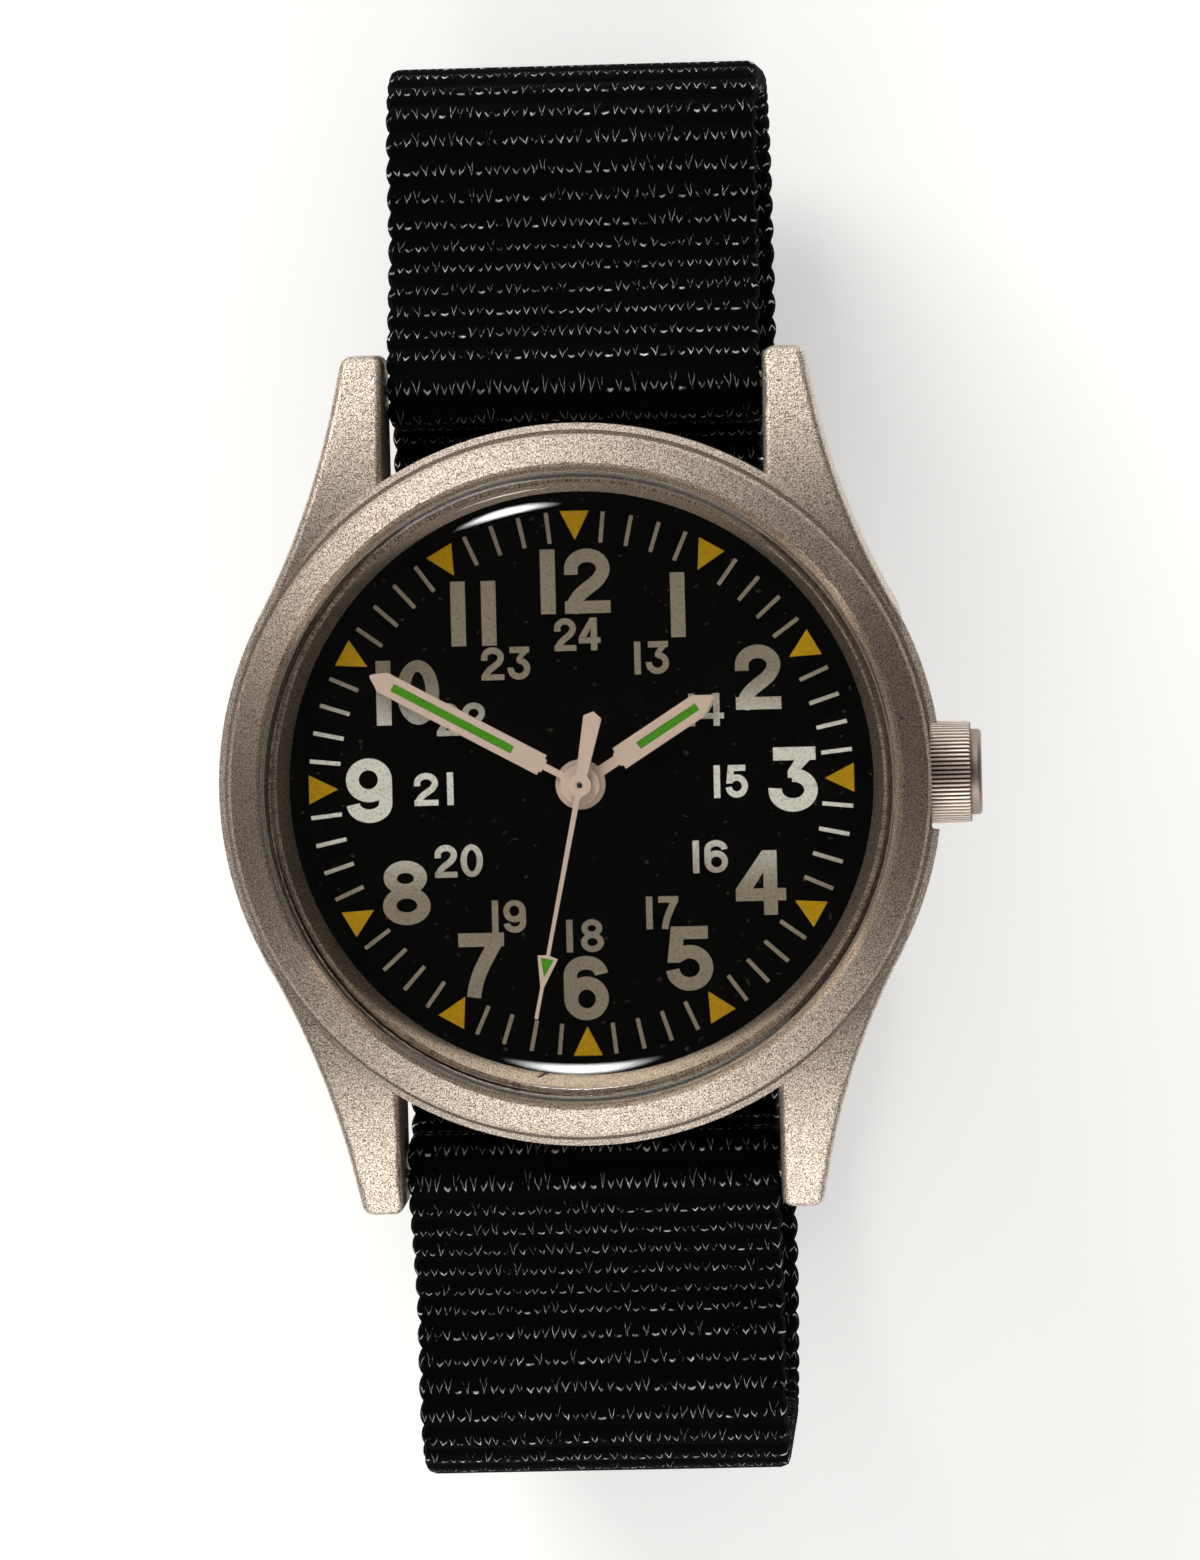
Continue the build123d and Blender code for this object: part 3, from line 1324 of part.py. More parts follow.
def strap_path():
    """The strap's middle line, from the end of its fold to the tip of its tail."""
    wrap_x = BAR_Y - BAR_WRAP_R
    slope = radians(SLOPE_ANGLE)
    leave_y = BAR_Y + BAR_WRAP_R * sin(slope)
    leave_z = BAR_Z + BAR_WRAP_R * cos(slope)
    crest_z = leave_z + tan(slope) * (leave_y - wrap_x)
    foot_y = leave_y + (leave_z - UNDER_Z) / tan(slope)
    side_y = LOOP_HALF - STRAP_T / 2
    top_bend_r = TOP_BEND_SHARE * (side_y - foot_y)
    fold_y = PIN_Y - FOLD_R
    pinch_y = PIN_Y + PINCH_REACH
    spread = fold_rise()
    fold_round = FOLD_R * FOLD_ROUND_SHARE
    stops = [
        (INNER_LEG_END, z_at(LEG_IN), 0),
        (pinch_y, z_at(LEG_IN), EASE_R),
        (fold_y, z_at(PIN_DEPTH - spread), fold_round),
        (fold_y, z_at(PIN_DEPTH + spread), fold_round),
        (pinch_y, z_at(LEG_OUT), EASE_R),
        (side_y, z_at(LEG_OUT), BOTTOM_BEND_R),
        (side_y, UNDER_Z, top_bend_r),
        (foot_y, UNDER_Z, EASE_R),
        (wrap_x, crest_z, BAR_WRAP_R),
        (wrap_x, UNDER_Z, UNDER_BEND_R),
        (-wrap_x, UNDER_Z, UNDER_BEND_R),
        (-wrap_x, crest_z, BAR_WRAP_R),
        (-foot_y, UNDER_Z, EASE_R),
        (-side_y, UNDER_Z, top_bend_r),
        (-side_y, z_at(RING_DEPTH), BOTTOM_BEND_R),
        (TAIL_RISE_Y, z_at(RING_DEPTH), TAIL_EASE_R),
        (TAIL_CREST[0], z_at(TAIL_CREST_DEPTH), TAIL_EASE_R),
        (TAIL_CREST[1], z_at(TAIL_CREST_DEPTH), TAIL_EASE_R),
        (TAIL_LAND_Y, z_at(TAIL_LAID), TAIL_EASE_R),
        (TAIL_END, z_at(TAIL_LAID), 0),
    ]
    points = [(0, y, z) for y, z, _ in stops]
    return FilletPolyline(*points, radius=[r for _, _, r in stops[1:-1]])


def tail_slope():
    """The slope of the tail where it climbs through the buckle."""
    rise = TAIL_CREST_DEPTH - RING_DEPTH
    return rise / (TAIL_CREST[0] - TAIL_RISE_Y)


def prong_slope():
    """The slope of the prong between its pin and the front bar."""
    return (prong_bar_depth() - PIN_DEPTH) / (PIN_Y - PRONG_BEND_Y)


def prong_bar_depth():
    """The depth of the prong's middle where it lies on the front bar."""
    return FRAME_BAR_DEPTH + FRAME_T + SLIP + PRONG_T / 2


def crossing():
    """Where the prong goes through the tail, as (y, depth)."""
    climb = tail_slope()
    fall = prong_slope()
    tail_at_zero = RING_DEPTH - climb * TAIL_RISE_Y
    prong_at_zero = PIN_DEPTH + fall * PIN_Y
    y = (prong_at_zero - tail_at_zero) / (climb + fall)
    return y, tail_at_zero + climb * y


def strap_hole(y, depth, slope=0.0):
    """A cutter for one oblong hole through the tail at a place along it."""
    tall = STRAP_T + 2 * HOLE_DEPTH_SPARE
    cutter = Box(HOLE_W, HOLE_L - HOLE_W, tall)
    for end in (-1, 1):
        cutter += Pos(0, end * (HOLE_L - HOLE_W) / 2, 0) * Cylinder(HOLE_W / 2, tall)
    return Pos(0, y, z_at(depth)) * Rot(-degrees(atan2(slope, 1)), 0, 0) * cutter


def tail_depth(y):
    """The depth of the tail's middle on its level stretches."""
    if y < TAIL_RISE_Y:
        return RING_DEPTH
    return TAIL_CREST_DEPTH if y < TAIL_CREST[1] + STRAP_T else TAIL_LAID


def strap():
    """The one-piece strap: one band swept along its path, with its holes and rounded tip."""
    path = strap_path()
    start = Plane(origin=path @ 0, x_dir=(1, 0, 0), z_dir=path % 0)
    body = sweep(start * Rectangle(STRAP_W, STRAP_T), path=path)
    hole_y, hole_depth = crossing()
    body -= strap_hole(hole_y, hole_depth, tail_slope())
    for k in range(-HOLES_BACK, HOLES_FORWARD + 1):
        y = hole_y + k * HOLE_PITCH
        if k:
            body -= strap_hole(y, tail_depth(y))
    slot_half = PRONG_SLOT_W / 2
    slot_y = (PIN_Y - FOLD_R - STRAP_T, PIN_Y + PRONG_SLOT_REACH)
    fold_out = FOLD_R + STRAP_T / 2 + FIT
    slot_z = (z_at(PIN_DEPTH + fold_out), z_at(PIN_DEPTH - fold_out - CUT))
    body -= block((-slot_half, slot_half), slot_y, slot_z)
    tip_low = z_at(TAIL_LAID + STRAP_T / 2 + HOLE_DEPTH_SPARE)
    tip_high = z_at(TAIL_LAID - STRAP_T / 2 - HOLE_DEPTH_SPARE)
    tip_y = (TAIL_END - TAIL_TIP_R, TAIL_END + CUT)
    rounding = block((-STRAP_W, STRAP_W), tip_y, (tip_low, tip_high))
    rounding -= disc(TAIL_TIP_R, tip_low - CUT, tip_high + CUT, (0, TAIL_END - TAIL_TIP_R))
    return body - rounding


def keeper(y, inner_depth):
    """A keeper loop round the strap, from its inner run to its outer run on the floor."""
    inside = STRAP_W / 2 + SLIP
    outside = inside + KEEPER_T
    y_span = (y - KEEPER_W / 2, y + KEEPER_W / 2)
    outer = block((-outside, outside), y_span, (0, z_at(inner_depth - KEEPER_T)))
    outer = fillet(outer.edges().filter_by(Axis.Y), KEEPER_T)
    inner_span = (KEEPER_T, z_at(inner_depth))
    return outer - block((-inside, inside), (y_span[0] - CUT, y_span[1] + CUT), inner_span)


def fixed_keeper():
    """The keeper stitched round the strap's fold; the watch rests on it."""
    return keeper(0.0, LEG_IN - STRAP_T / 2 - SLIP)


def sliding_keeper():
    """The keeper that slides along the strap over the tail."""
    return keeper(SLIDING_KEEPER_Y, LEG_OUT - STRAP_T / 2 - SLIP)


def buckle_frame():
    """The buckle's U frame: a plan outline cut to a side outline that rises to the front bar."""
    back_y = PIN_Y + FRAME_BACK_REACH
    outer = block((-FRAME_HALF_W, FRAME_HALF_W), (FRAME_FRONT_Y, back_y), (-FLOOR_Z, 2 * FLOOR_Z))
    corners = outer.edges().filter_by(Axis.Z).sort_by(Axis.Y)[:2]
    outer = fillet(corners, FRAME_CORNER)
    inner = FRAME_HALF_W - FRAME_ARM_W
    inner_y = (FRAME_FRONT_Y + FRAME_BAR_L, back_y + CUT)
    outer -= block((-inner, inner), inner_y, (-2 * FLOOR_Z, 3 * FLOOR_Z))
    half = FRAME_T / 2
    front_y = FRAME_FRONT_Y + FRAME_BAR_L + SLIP
    side = side_plate(
        [
            (back_y, z_at(PIN_DEPTH - half)),
            (PIN_Y - half, z_at(PIN_DEPTH - half)),
            (front_y, z_at(FRAME_BAR_DEPTH)),
            (FRAME_FRONT_Y - CUT, z_at(FRAME_BAR_DEPTH)),
            (FRAME_FRONT_Y - CUT, z_at(FRAME_BAR_DEPTH + FRAME_T)),
            (front_y, z_at(FRAME_BAR_DEPTH + FRAME_T)),
            (PIN_Y - half, z_at(PIN_DEPTH + half)),
            (back_y, z_at(PIN_DEPTH + half)),
        ],
        FRAME_HALF_W + CUT,
    )
    return (outer & side) - rod(
        PIN_R + PIVOT_FIT, -FRAME_HALF_W - CUT, FRAME_HALF_W + CUT, (PIN_Y, z_at(PIN_DEPTH))
    )


def buckle_pin():
    """The pin that joins the strap's fold, the frame and the prong."""
    return rod(PIN_R, -FRAME_HALF_W, FRAME_HALF_W, (PIN_Y, z_at(PIN_DEPTH)))


def buckle_prong():
    """The prong: an eye on the pin and a tongue through the tail, resting on the front bar."""
    half = PRONG_T / 2
    rest = prong_bar_depth()
    tip_y = FRAME_FRONT_Y - PRONG_TIP_OVERHANG
    bend_shift = half * tan(atan2(prong_slope(), 1) / 2)
    tongue = side_plate(
        [
            (PIN_Y, z_at(PIN_DEPTH - half)),
            (PRONG_BEND_Y - bend_shift, z_at(rest - half)),
            (tip_y, z_at(rest - half)),
            (tip_y, z_at(rest + half / 2)),
            (tip_y + half, z_at(rest + half)),
            (PRONG_BEND_Y + bend_shift, z_at(rest + half)),
            (PIN_Y, z_at(PIN_DEPTH + half)),
        ],
        PRONG_W / 2,
    )
    place = (PIN_Y, z_at(PIN_DEPTH))
    eye = rod(PRONG_EYE_R, -PRONG_W / 2, PRONG_W / 2, place)
    return tongue + eye - rod(PIN_R + PIVOT_FIT, -PRONG_W, PRONG_W, place)


def hands():
    """The three hands and their luminous fillings, each turned to the time shown."""
    hour = (
        HOUR_LENGTH,
        HOUR_SHOULDER,
        HOUR_BLADE_START,
        HOUR_W,
        HOUR_NECK_W,
        HOUR_HUB_R,
        HOUR_SLOT,
    )
    minute = (
        MINUTE_LENGTH,
        MINUTE_SHOULDER,
        MINUTE_BLADE_START,
        MINUTE_W,
        MINUTE_NECK_W,
        MINUTE_HUB_R,
        MINUTE_SLOT,
    )
    hour_turn = Rot(0, 0, -HOUR_ANGLE)
    minute_turn = Rot(0, 0, -MINUTE_ANGLE)
    second_turn = Rot(0, 0, -SECOND_ANGLE)
    return {
        "hour_hand": hour_turn * blade_hand(*hour, HOUR_PIPE_R + FIT, HOUR_LEVEL),
        "hour_hand_lume": hour_turn * lume_bar(HOUR_SLOT, HOUR_LEVEL),
        "minute_hand": minute_turn * blade_hand(*minute, CANNON_R + FIT, MINUTE_LEVEL),
        "minute_hand_lume": minute_turn * lume_bar(MINUTE_SLOT, MINUTE_LEVEL),
        "second_hand": second_turn * second_hand(),
        "second_hand_lume": second_turn * second_lume(),
    }


def head_pieces():
    """Every piece of the watch head, with heights above the back."""
    pieces = {
        "mid_case": mid_case(),
        "bezel": bezel(),
        "crystal": crystal(),
        "rehaut_ring": rehaut_ring(),
        "dial": dial(),
        "case_back": case_back(),
        "case_back_gasket": case_back_gasket(),
        "crown_tube": crown_tube(),
        "crown": crown(),
        "crown_seal": crown_seal(),
        "stem": stem(),
        "winding_pinion": radial_pinion(WINDING_PINION_X, WINDING_PINION_L, WINDING_PINION_R),
        "sliding_pinion": radial_pinion(SLIDING_PINION_X, SLIDING_PINION_L, SLIDING_PINION_R),
        "hour_wheel": hour_wheel(),
        "cannon_pinion": cannon_pinion(),
        "minute_wheel": minute_wheel(),
        "seconds_wheel": seconds_wheel(),
        "third_wheel": third_wheel(),
        "second_wheel": second_wheel(),
        "barrel": barrel(),
        "mainspring": mainspring(),
        "barrel_arbor": barrel_arbor(),
        "ratchet_wheel": ratchet_wheel(),
        "crown_wheel": crown_wheel(),
        "click": click(),
        "escape_wheel": escape_wheel(),
        "pallet_fork": pallet_fork(),
        "balance": balance(),
        "hairspring": hairspring(),
        "main_plate": main_plate(),
        "barrel_bridge": barrel_bridge(),
        "train_bridge": train_bridge(),
        "balance_cock": balance_cock(),
        "pallet_bridge": pallet_bridge(),
        "jewels": jewels(),
        "movement_screws": movement_screws(),
        "setting_lever": setting_lever(),
        "movement_ring": movement_ring(),
    }
    pieces.update(hands())
    for name, side_y in (("upper", BAR_Y), ("lower", -BAR_Y)):
        pieces[f"{name}_bar_tube"] = bar_tube(side_y)
        pieces[f"{name}_bar_spring"] = bar_spring(side_y)
        pieces[f"{name}_bar_tip_crown_side"] = bar_tip(side_y, 1)
        pieces[f"{name}_bar_tip_far_side"] = bar_tip(side_y, -1)
    return pieces


def strap_pieces():
    """The strap, its keepers and its buckle, in the row's own frame."""
    return {
        "strap": strap(),
        "fixed_keeper": fixed_keeper(),
        "sliding_keeper": sliding_keeper(),
        "buckle_frame": buckle_frame(),
        "buckle_pin": buckle_pin(),
        "buckle_prong": buckle_prong(),
    }


os.makedirs("parts", exist_ok=True)
for piece_name, piece in head_pieces().items():
    export_step(Pos(0, 0, BACK_Z) * piece, f"parts/{piece_name}.step")
for piece_name, piece in strap_pieces().items():
    export_step(piece, f"parts/{piece_name}.step")
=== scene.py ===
"""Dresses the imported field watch: steel, crystal, printed dial, hands, movement, webbing strap
and buckle, with a pale studio. Lengths are in metres, unless a name or a comment says
millimetres."""

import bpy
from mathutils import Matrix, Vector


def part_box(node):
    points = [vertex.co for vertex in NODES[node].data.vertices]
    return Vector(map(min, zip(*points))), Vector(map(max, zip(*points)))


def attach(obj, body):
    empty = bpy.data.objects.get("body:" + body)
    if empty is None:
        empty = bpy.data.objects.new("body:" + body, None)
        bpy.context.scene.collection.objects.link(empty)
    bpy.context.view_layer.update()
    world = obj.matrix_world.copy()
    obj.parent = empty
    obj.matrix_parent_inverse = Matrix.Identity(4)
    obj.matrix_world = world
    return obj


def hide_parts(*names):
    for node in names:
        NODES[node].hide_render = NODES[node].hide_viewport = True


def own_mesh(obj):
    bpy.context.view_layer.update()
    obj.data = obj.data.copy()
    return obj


bl_info = {
    "name": "Field watch", "version": (1, 0, 0), "blender": (4, 5, 0),
    "location": "3D View > Sidebar > Field Watch",
    "description": "Builds the looks of a field watch round its packed CAD frame",
    "category": "Object",
}

from functools import partial
from math import cos, degrees, hypot, inf, pi, radians, sin, sqrt, tan

import bmesh
import bpy
from bpy.props import FloatProperty, FloatVectorProperty, IntProperty, PointerProperty
from mathutils import Matrix, Vector
from mathutils.geometry import delaunay_2d_cdt

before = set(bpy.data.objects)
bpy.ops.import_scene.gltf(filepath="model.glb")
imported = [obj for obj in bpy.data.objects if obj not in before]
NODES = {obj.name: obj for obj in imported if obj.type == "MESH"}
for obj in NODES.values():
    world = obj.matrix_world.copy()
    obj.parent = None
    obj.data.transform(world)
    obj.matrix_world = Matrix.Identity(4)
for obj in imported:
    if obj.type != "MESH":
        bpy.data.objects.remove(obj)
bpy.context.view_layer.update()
MM = 0.001
DIAL_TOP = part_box("dial")[1].z
# points closer than this are one point
WELD = 1e-7
CROWN_CAP_LENGTH = 0.5 * MM
CROWN_TOOTH_HEIGHT = 0.12 * MM


def linear(hex_colour):
    """Linear RGBA of an sRGB colour written as hex, such as 'c8b8a0'."""
    shares = [int(hex_colour[k : k + 2], 16) / 255 for k in (0, 2, 4)]
    return tuple(
        c / 12.92 if c <= 0.04045 else ((c + 0.055) / 1.055) ** 2.4 for c in shares
    ) + (1.0,)


def colour_setting(name, description, hex_colour):
    """A colour that the user can change."""
    return FloatVectorProperty(
        name=name, description=description, default=linear(hex_colour), subtype="COLOR", size=4,
        min=0, max=1,
    )


def length_setting(name, description, millimetres):
    """A length that the user can change."""
    return FloatProperty(
        name=name, description=description, default=millimetres * MM, unit="LENGTH",
        subtype="DISTANCE", precision=5,
    )


def angle_setting(name, description, angle):
    """An angle in degrees that the user can change."""
    return FloatProperty(
        name=name, description=description, default=radians(angle), subtype="ANGLE"
    )


def power_setting(name, description, watts):
    """A lamp's power that the user can change."""
    return FloatProperty(name=name, description=description, default=watts, unit="POWER")


class FieldWatchMetal(bpy.types.PropertyGroup):
    """Colours and grain of the bead-blasted steel."""

    steel: colour_setting("Blasted steel", "Bead-blasted case steel", "f0e3d4")
    steel_pit: colour_setting("Blasted steel, pits", "The pits between the peaks", "6d5a4d")
    grain: length_setting("Blast grain", "Size of one blasted pit", 0.07)
    pit_depth: length_setting("Pit depth", "Depth of one blasted pit", 0.022)


class FieldWatchDial(bpy.types.PropertyGroup):
    """Sizes and colours of the dial's print."""

    lacquer: colour_setting("Lacquer", "Gloss black dial lacquer", "020202")
    ink: colour_setting("Ink", "Print of the numbers across the dial's middle", "dfe2dd")
    # ink of the print towards twelve and six, greyer than across the middle
    ink_twelve_six: colour_setting("Ink at twelve and six", "Print towards twelve and six", "8a8172")
    triangle: colour_setting("Triangles", "Yellow luminous triangles", "b89000")
    hour_height: length_setting("Hour numbers", "Height of the outer numbers", 3.04)
    small_height: length_setting("24-hour numbers", "Height of the inner numbers", 1.54)
    ink_thickness: length_setting("Ink thickness", "How proud the print stands", 0.015)
    tick_width: length_setting("Minute stroke width", "Width of one minute stroke", 0.19)
    tick_inner: length_setting("Minute strokes from", "Inner radius of the strokes", 11.37)
    tick_outer: length_setting("Minute strokes to", "Outer radius of the strokes", 12.83)
    triangle_width: length_setting("Triangle width", "Base of an hour triangle", 1.37)
    hours: IntProperty(name="Hours", description="Triangles round the dial", default=12)
    minutes: IntProperty(name="Minutes", description="Places round the dial", default=60)


class FieldWatchHands(bpy.types.PropertyGroup):
    """Colours of the hands."""

    paint: colour_setting("Hand paint", "Satin paint of the hands", "d4c0b5")
    lume: colour_setting("Luminous paint", "Green luminous filling", "4c9c1a")
    edge: length_setting("Edge", "Rounding of the hands' edges", 0.03)


class FieldWatchStrap(bpy.types.PropertyGroup):
    """Sizes and colour of the webbing."""

    nylon: colour_setting("Nylon", "Black nylon yarn", "060506")
    # painted glint: colour of the white metal patches on the rib crests
    painted_glint: colour_setting("Painted glint", "White metal patches painted as glints", "ffffff")
    width: length_setting("Strap width", "Width of the strap", 17.8)
    thickness: length_setting("Strap thickness", "Thickness over the ribs", 1.2)
    rib_pitch: length_setting("Rib pitch", "From one rib to the next", 1.28)
    rib_depth: length_setting("Rib depth", "From a rib's crest to the valley", 0.22)
    yarn: length_setting("Warp yarn", "Width of one warp yarn", 0.435)
    keeper_width: length_setting("Keeper width", "Width of the keepers' webbing", 5.0)
    keeper_thickness: length_setting("Keeper thickness", "Thickness of the keepers", 0.9)


class FieldWatchStage(bpy.types.PropertyGroup):
    """Camera, light and floor."""

    lens: FloatProperty(name="Lens", description="Focal length", default=200, unit="CAMERA")
    view_height: length_setting("View height", "Height of the view at the dial", 73.93)
    tilt_right: angle_setting("Lean right", "How far the camera leans towards the crown", 2.6)
    tilt_up: angle_setting("Lean up", "How far the camera leans towards twelve o'clock", 3.3)
    roll: angle_setting("Roll", "How far the watch turns anticlockwise in the view", 1.33)
    floor: colour_setting("Floor", "Pale paper floor", "fdfdfd")
    softbox_power: power_setting("Softbox power", "Base power of the softboxes", 1.5)
    beam_power: power_setting("Beam power", "Power of each beam", 0.00055)
    strip_glow: FloatProperty(
        name="Strip glow", description="Brightness of the strips in the crystal", default=45.0
    )


# Small tools


def add_node(tree, kind, inputs=(), **settings):
    """Adds a node, with its settings and with a value, socket or node for each input, by the
    inputs' names or in their order. A kind that doesn't name its family is a shader node, and an
    operation may follow the kind."""
    kind, _, operation = kind.partition(" ")
    node = tree.nodes.new(kind if "Node" in kind else f"ShaderNode{kind}")
    if operation:
        settings["operation"] = operation
    for name, value in settings.items():
        setattr(node, name, value)
    for key, value in inputs.items() if isinstance(inputs, dict) else enumerate(inputs):
        if isinstance(value, bpy.types.Node):
            value = next(socket for socket in value.outputs if socket.enabled)
        if isinstance(value, bpy.types.NodeSocket):
            tree.links.new(value, node.inputs[key])
        else:
            node.inputs[key].default_value = value
    return node


def new_material(name):
    """An empty node material, the function that adds its nodes, and its Object coordinates."""
    material = bpy.data.materials.new(name)
    material.use_nodes = True
    material.node_tree.nodes.clear()
    add = partial(add_node, material.node_tree)
    return material, add, add("TexCoord").outputs["Object"]


def finished(material, add, surface):
    """The material, with a shader or the inputs of a Principled shader as its surface."""
    if isinstance(surface, dict):
        surface = add("BsdfPrincipled", surface)
    add("OutputMaterial", {"Surface": surface})
    return material


def shaded(colour, share):
    """A colour with its light multiplied by a share."""
    return tuple(c * share for c in tuple(colour)[:3]) + (1.0,)


def sized(place, grain_mm, detail=2.0, **more):
    """The inputs of a noise whose grains have a real size."""
    return {"Vector": place, "Scale": 1 / (grain_mm * MM), "Detail": detail, **more}


def mottled(add, pattern, start, end, dark, light):
    """A colour that turns from dark to light where a pattern rises from start to end, and the
    share of the way that it has turned."""
    share = add("MapRange", (pattern, start, end))
    return add("Mix", {"Factor": share, "A": dark, "B": light}, data_type="RGBA"), share


def placed(name, data):
    """An object for its data, in the scene."""
    thing = bpy.data.objects.new(name, data)
    bpy.context.scene.collection.objects.link(thing)
    return thing


def from_mesh(name, mesh, material):
    """An object for a finished mesh."""
    mesh.materials.clear()
    mesh.materials.append(material)
    return placed(name, mesh)


def from_bmesh(name, shape, material, smooth_angle=30.0):
    """An object from a bmesh, smooth but for edges sharper than an angle."""
    mesh = bpy.data.meshes.new(name)
    shape.to_mesh(mesh)
    shape.free()
    mesh.shade_smooth()
    mesh.set_sharp_from_angle(angle=radians(smooth_angle))
    return from_mesh(name, mesh, material)


def evaluated(thing):
    """A new plain mesh of an object as its modifiers make it."""
    graph = bpy.context.evaluated_depsgraph_get()
    graph.update()
    return bpy.data.meshes.new_from_object(thing.evaluated_get(graph))


def applied(thing):
    """The object with its modifiers made into a plain mesh and removed."""
    mesh, old = evaluated(thing), thing.data
    thing.modifiers.clear()
    thing.data = mesh
    if old.users == 0:
        bpy.data.meshes.remove(old)
    return thing


def dress(node, material):
    """Gives a CAD node's own object a material."""
    thing = NODES[node]
    thing.data.materials.clear()
    thing.data.materials.append(material)


def softened(node, body, slot, material, edge, sharp_angle=32.0, segments=2):
    """A copy of a CAD node with its edges rounded, which replaces it."""
    shape = bmesh.new()
    shape.from_mesh(NODES[node].data)
    bmesh.ops.remove_doubles(shape, verts=shape.verts, dist=WELD)
    bmesh.ops.dissolve_limit(shape, angle_limit=radians(0.5), verts=shape.verts, edges=shape.edges)
    bmesh.ops.recalc_face_normals(shape, faces=shape.faces)
    thing = from_bmesh(f"{node}_finish", shape, material, sharp_angle)
    rounding = thing.modifiers.new("Edge", "BEVEL")
    rounding.width = edge
    rounding.segments = segments
    rounding.limit_method = "ANGLE"
    rounding.angle_limit = radians(sharp_angle)
    rounding.harden_normals = True
    applied(thing)
    return settle(thing, body, slot, node)


def settle(thing, body, slot, *replaced):
    """Ties a finished piece to its body and hides the nodes it stands for; its slot is not used.
    """
    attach(thing, body)
    if replaced:
        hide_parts(*replaced)
    return thing


# Materials


def blasted_steel(metal, name="bead_blasted_steel", light=1.0, rougher=0.0):
    """Bead-blasted stainless steel: the glass beads leave fine round pits, so it is matt with a
    warm sparkle, a speckle of light peaks and dark pits, and no streaks. A light share below one
    darkens both colours, which makes a copy with painted shade."""
    material, add, place = new_material(name)
    pits = add("TexNoise", sized(place, metal.grain / MM, 3.0, Roughness=0.62))
    dark, bright = shaded(metal.steel_pit, light), shaded(metal.steel, light)
    colour, peak = mottled(add, pits, 0.38, 0.6, dark, bright)
    matt = add("MapRange", (peak, 0.0, 1.0, 0.5 + rougher, 0.36 + rougher))
    relief = add("Bump", {"Height": pits, "Distance": metal.pit_depth, "Strength": 0.8})
    surface = {"Base Color": colour, "Metallic": 1.0, "Roughness": matt, "Normal": relief}
    return finished(material, add, surface)


def turned_metal(name, hex_colour, roughness, grain_mm=0.12, depth_mm=0.004):
    """Fine-turned or tumbled metal: an even satin with a faint cloudiness and hair-fine grain."""
    material, add, place = new_material(name)
    cloud = add("TexNoise", sized(place, 2.5, 3.0))
    grain = add("TexNoise", sized(place, grain_mm))
    base = linear(hex_colour)
    colour, _ = mottled(add, cloud, 0.3, 0.65, shaded(base, 0.82), base)
    level = add("MapRange", (grain, 0.3, 0.7, roughness + 0.07, roughness - 0.05))
    relief = add("Bump", {"Height": grain, "Distance": depth_mm * MM})
    surface = {"Base Color": colour, "Metallic": 1.0, "Roughness": level, "Normal": relief}
    return finished(material, add, surface)


def crown_steel():
    """Crown steel: a painted highlight on the knurling's crests and painted shade in its valleys,
    and the end cap stays satin."""
    material, add, place = new_material("knurled_crown_steel")
    low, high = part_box("crown")
    parts = add("SeparateXYZ", {"Vector": place}).outputs
    cap_start = high.x - CROWN_CAP_LENGTH
    cap = add("Math GREATER_THAN", (parts["X"], cap_start))
    rise = add("Math SUBTRACT", (parts["Z"], (low.z + high.z) / 2))
    spoke = add("CombineXYZ", {"Y": parts["Y"], "Z": rise})
    radius = add("VectorMath LENGTH", (spoke,)).outputs["Value"]
    valley, crest = (high.y - CROWN_TOOTH_HEIGHT * share for share in (0.85, 0.25))
    # painted highlight on the knurling's crests and painted shade in its valleys, by distance from
    # the axis
    painted_ridge_light, _ = mottled(add, radius, valley, crest, linear("655345"), linear("fff4ea"))
    colour = add("Mix", {"Factor": cap, "A": painted_ridge_light, "B": linear("a4948a")}, data_type="RGBA")
    roughness = add("MapRange", (cap, 0.0, 1.0, 0.48, 0.52))
    surface = {"Base Color": colour, "Metallic": 1.0, "Roughness": roughness}
    return finished(material, add, surface)


def acrylic():
    """Polished moulded acrylic: clear, with a faint warm edge, lets lamps through to the dial."""
    material, add, _ = new_material("polished_acrylic")
    plastic = {"Base Color": linear("fbfaf6"), "Roughness": 0.0, "IOR": 1.49}
    glass = add("BsdfPrincipled", {**plastic, "Transmission Weight": 1.0})
    clear = add("BsdfTransparent", {"Color": linear("f4f2ee")})
    lamp_ray = add("LightPath").outputs["Is Shadow Ray"]
    return finished(material, add, add("MixShader", (lamp_ray, glass, clear)))


def dial_lacquer(settings):
    """Gloss black lacquer on brass: deep black with a clear reflection and a few dust specks."""
    material, add, place = new_material("gloss_dial_lacquer")
    dust = add("TexNoise", sized(place, 0.3, 0.0))
    black = tuple(settings.lacquer)
    colour, _ = mottled(add, dust, 0.785, 0.82, black, linear("2a2622"))
    flow = add("TexNoise", sized(place, 3))
    relief = add("Bump", {"Height": flow, "Distance": 0.003 * MM})
    surface = {"Base Color": colour, "Roughness": 0.14, "IOR": 1.5, "Normal": relief}
    return finished(material, add, surface)


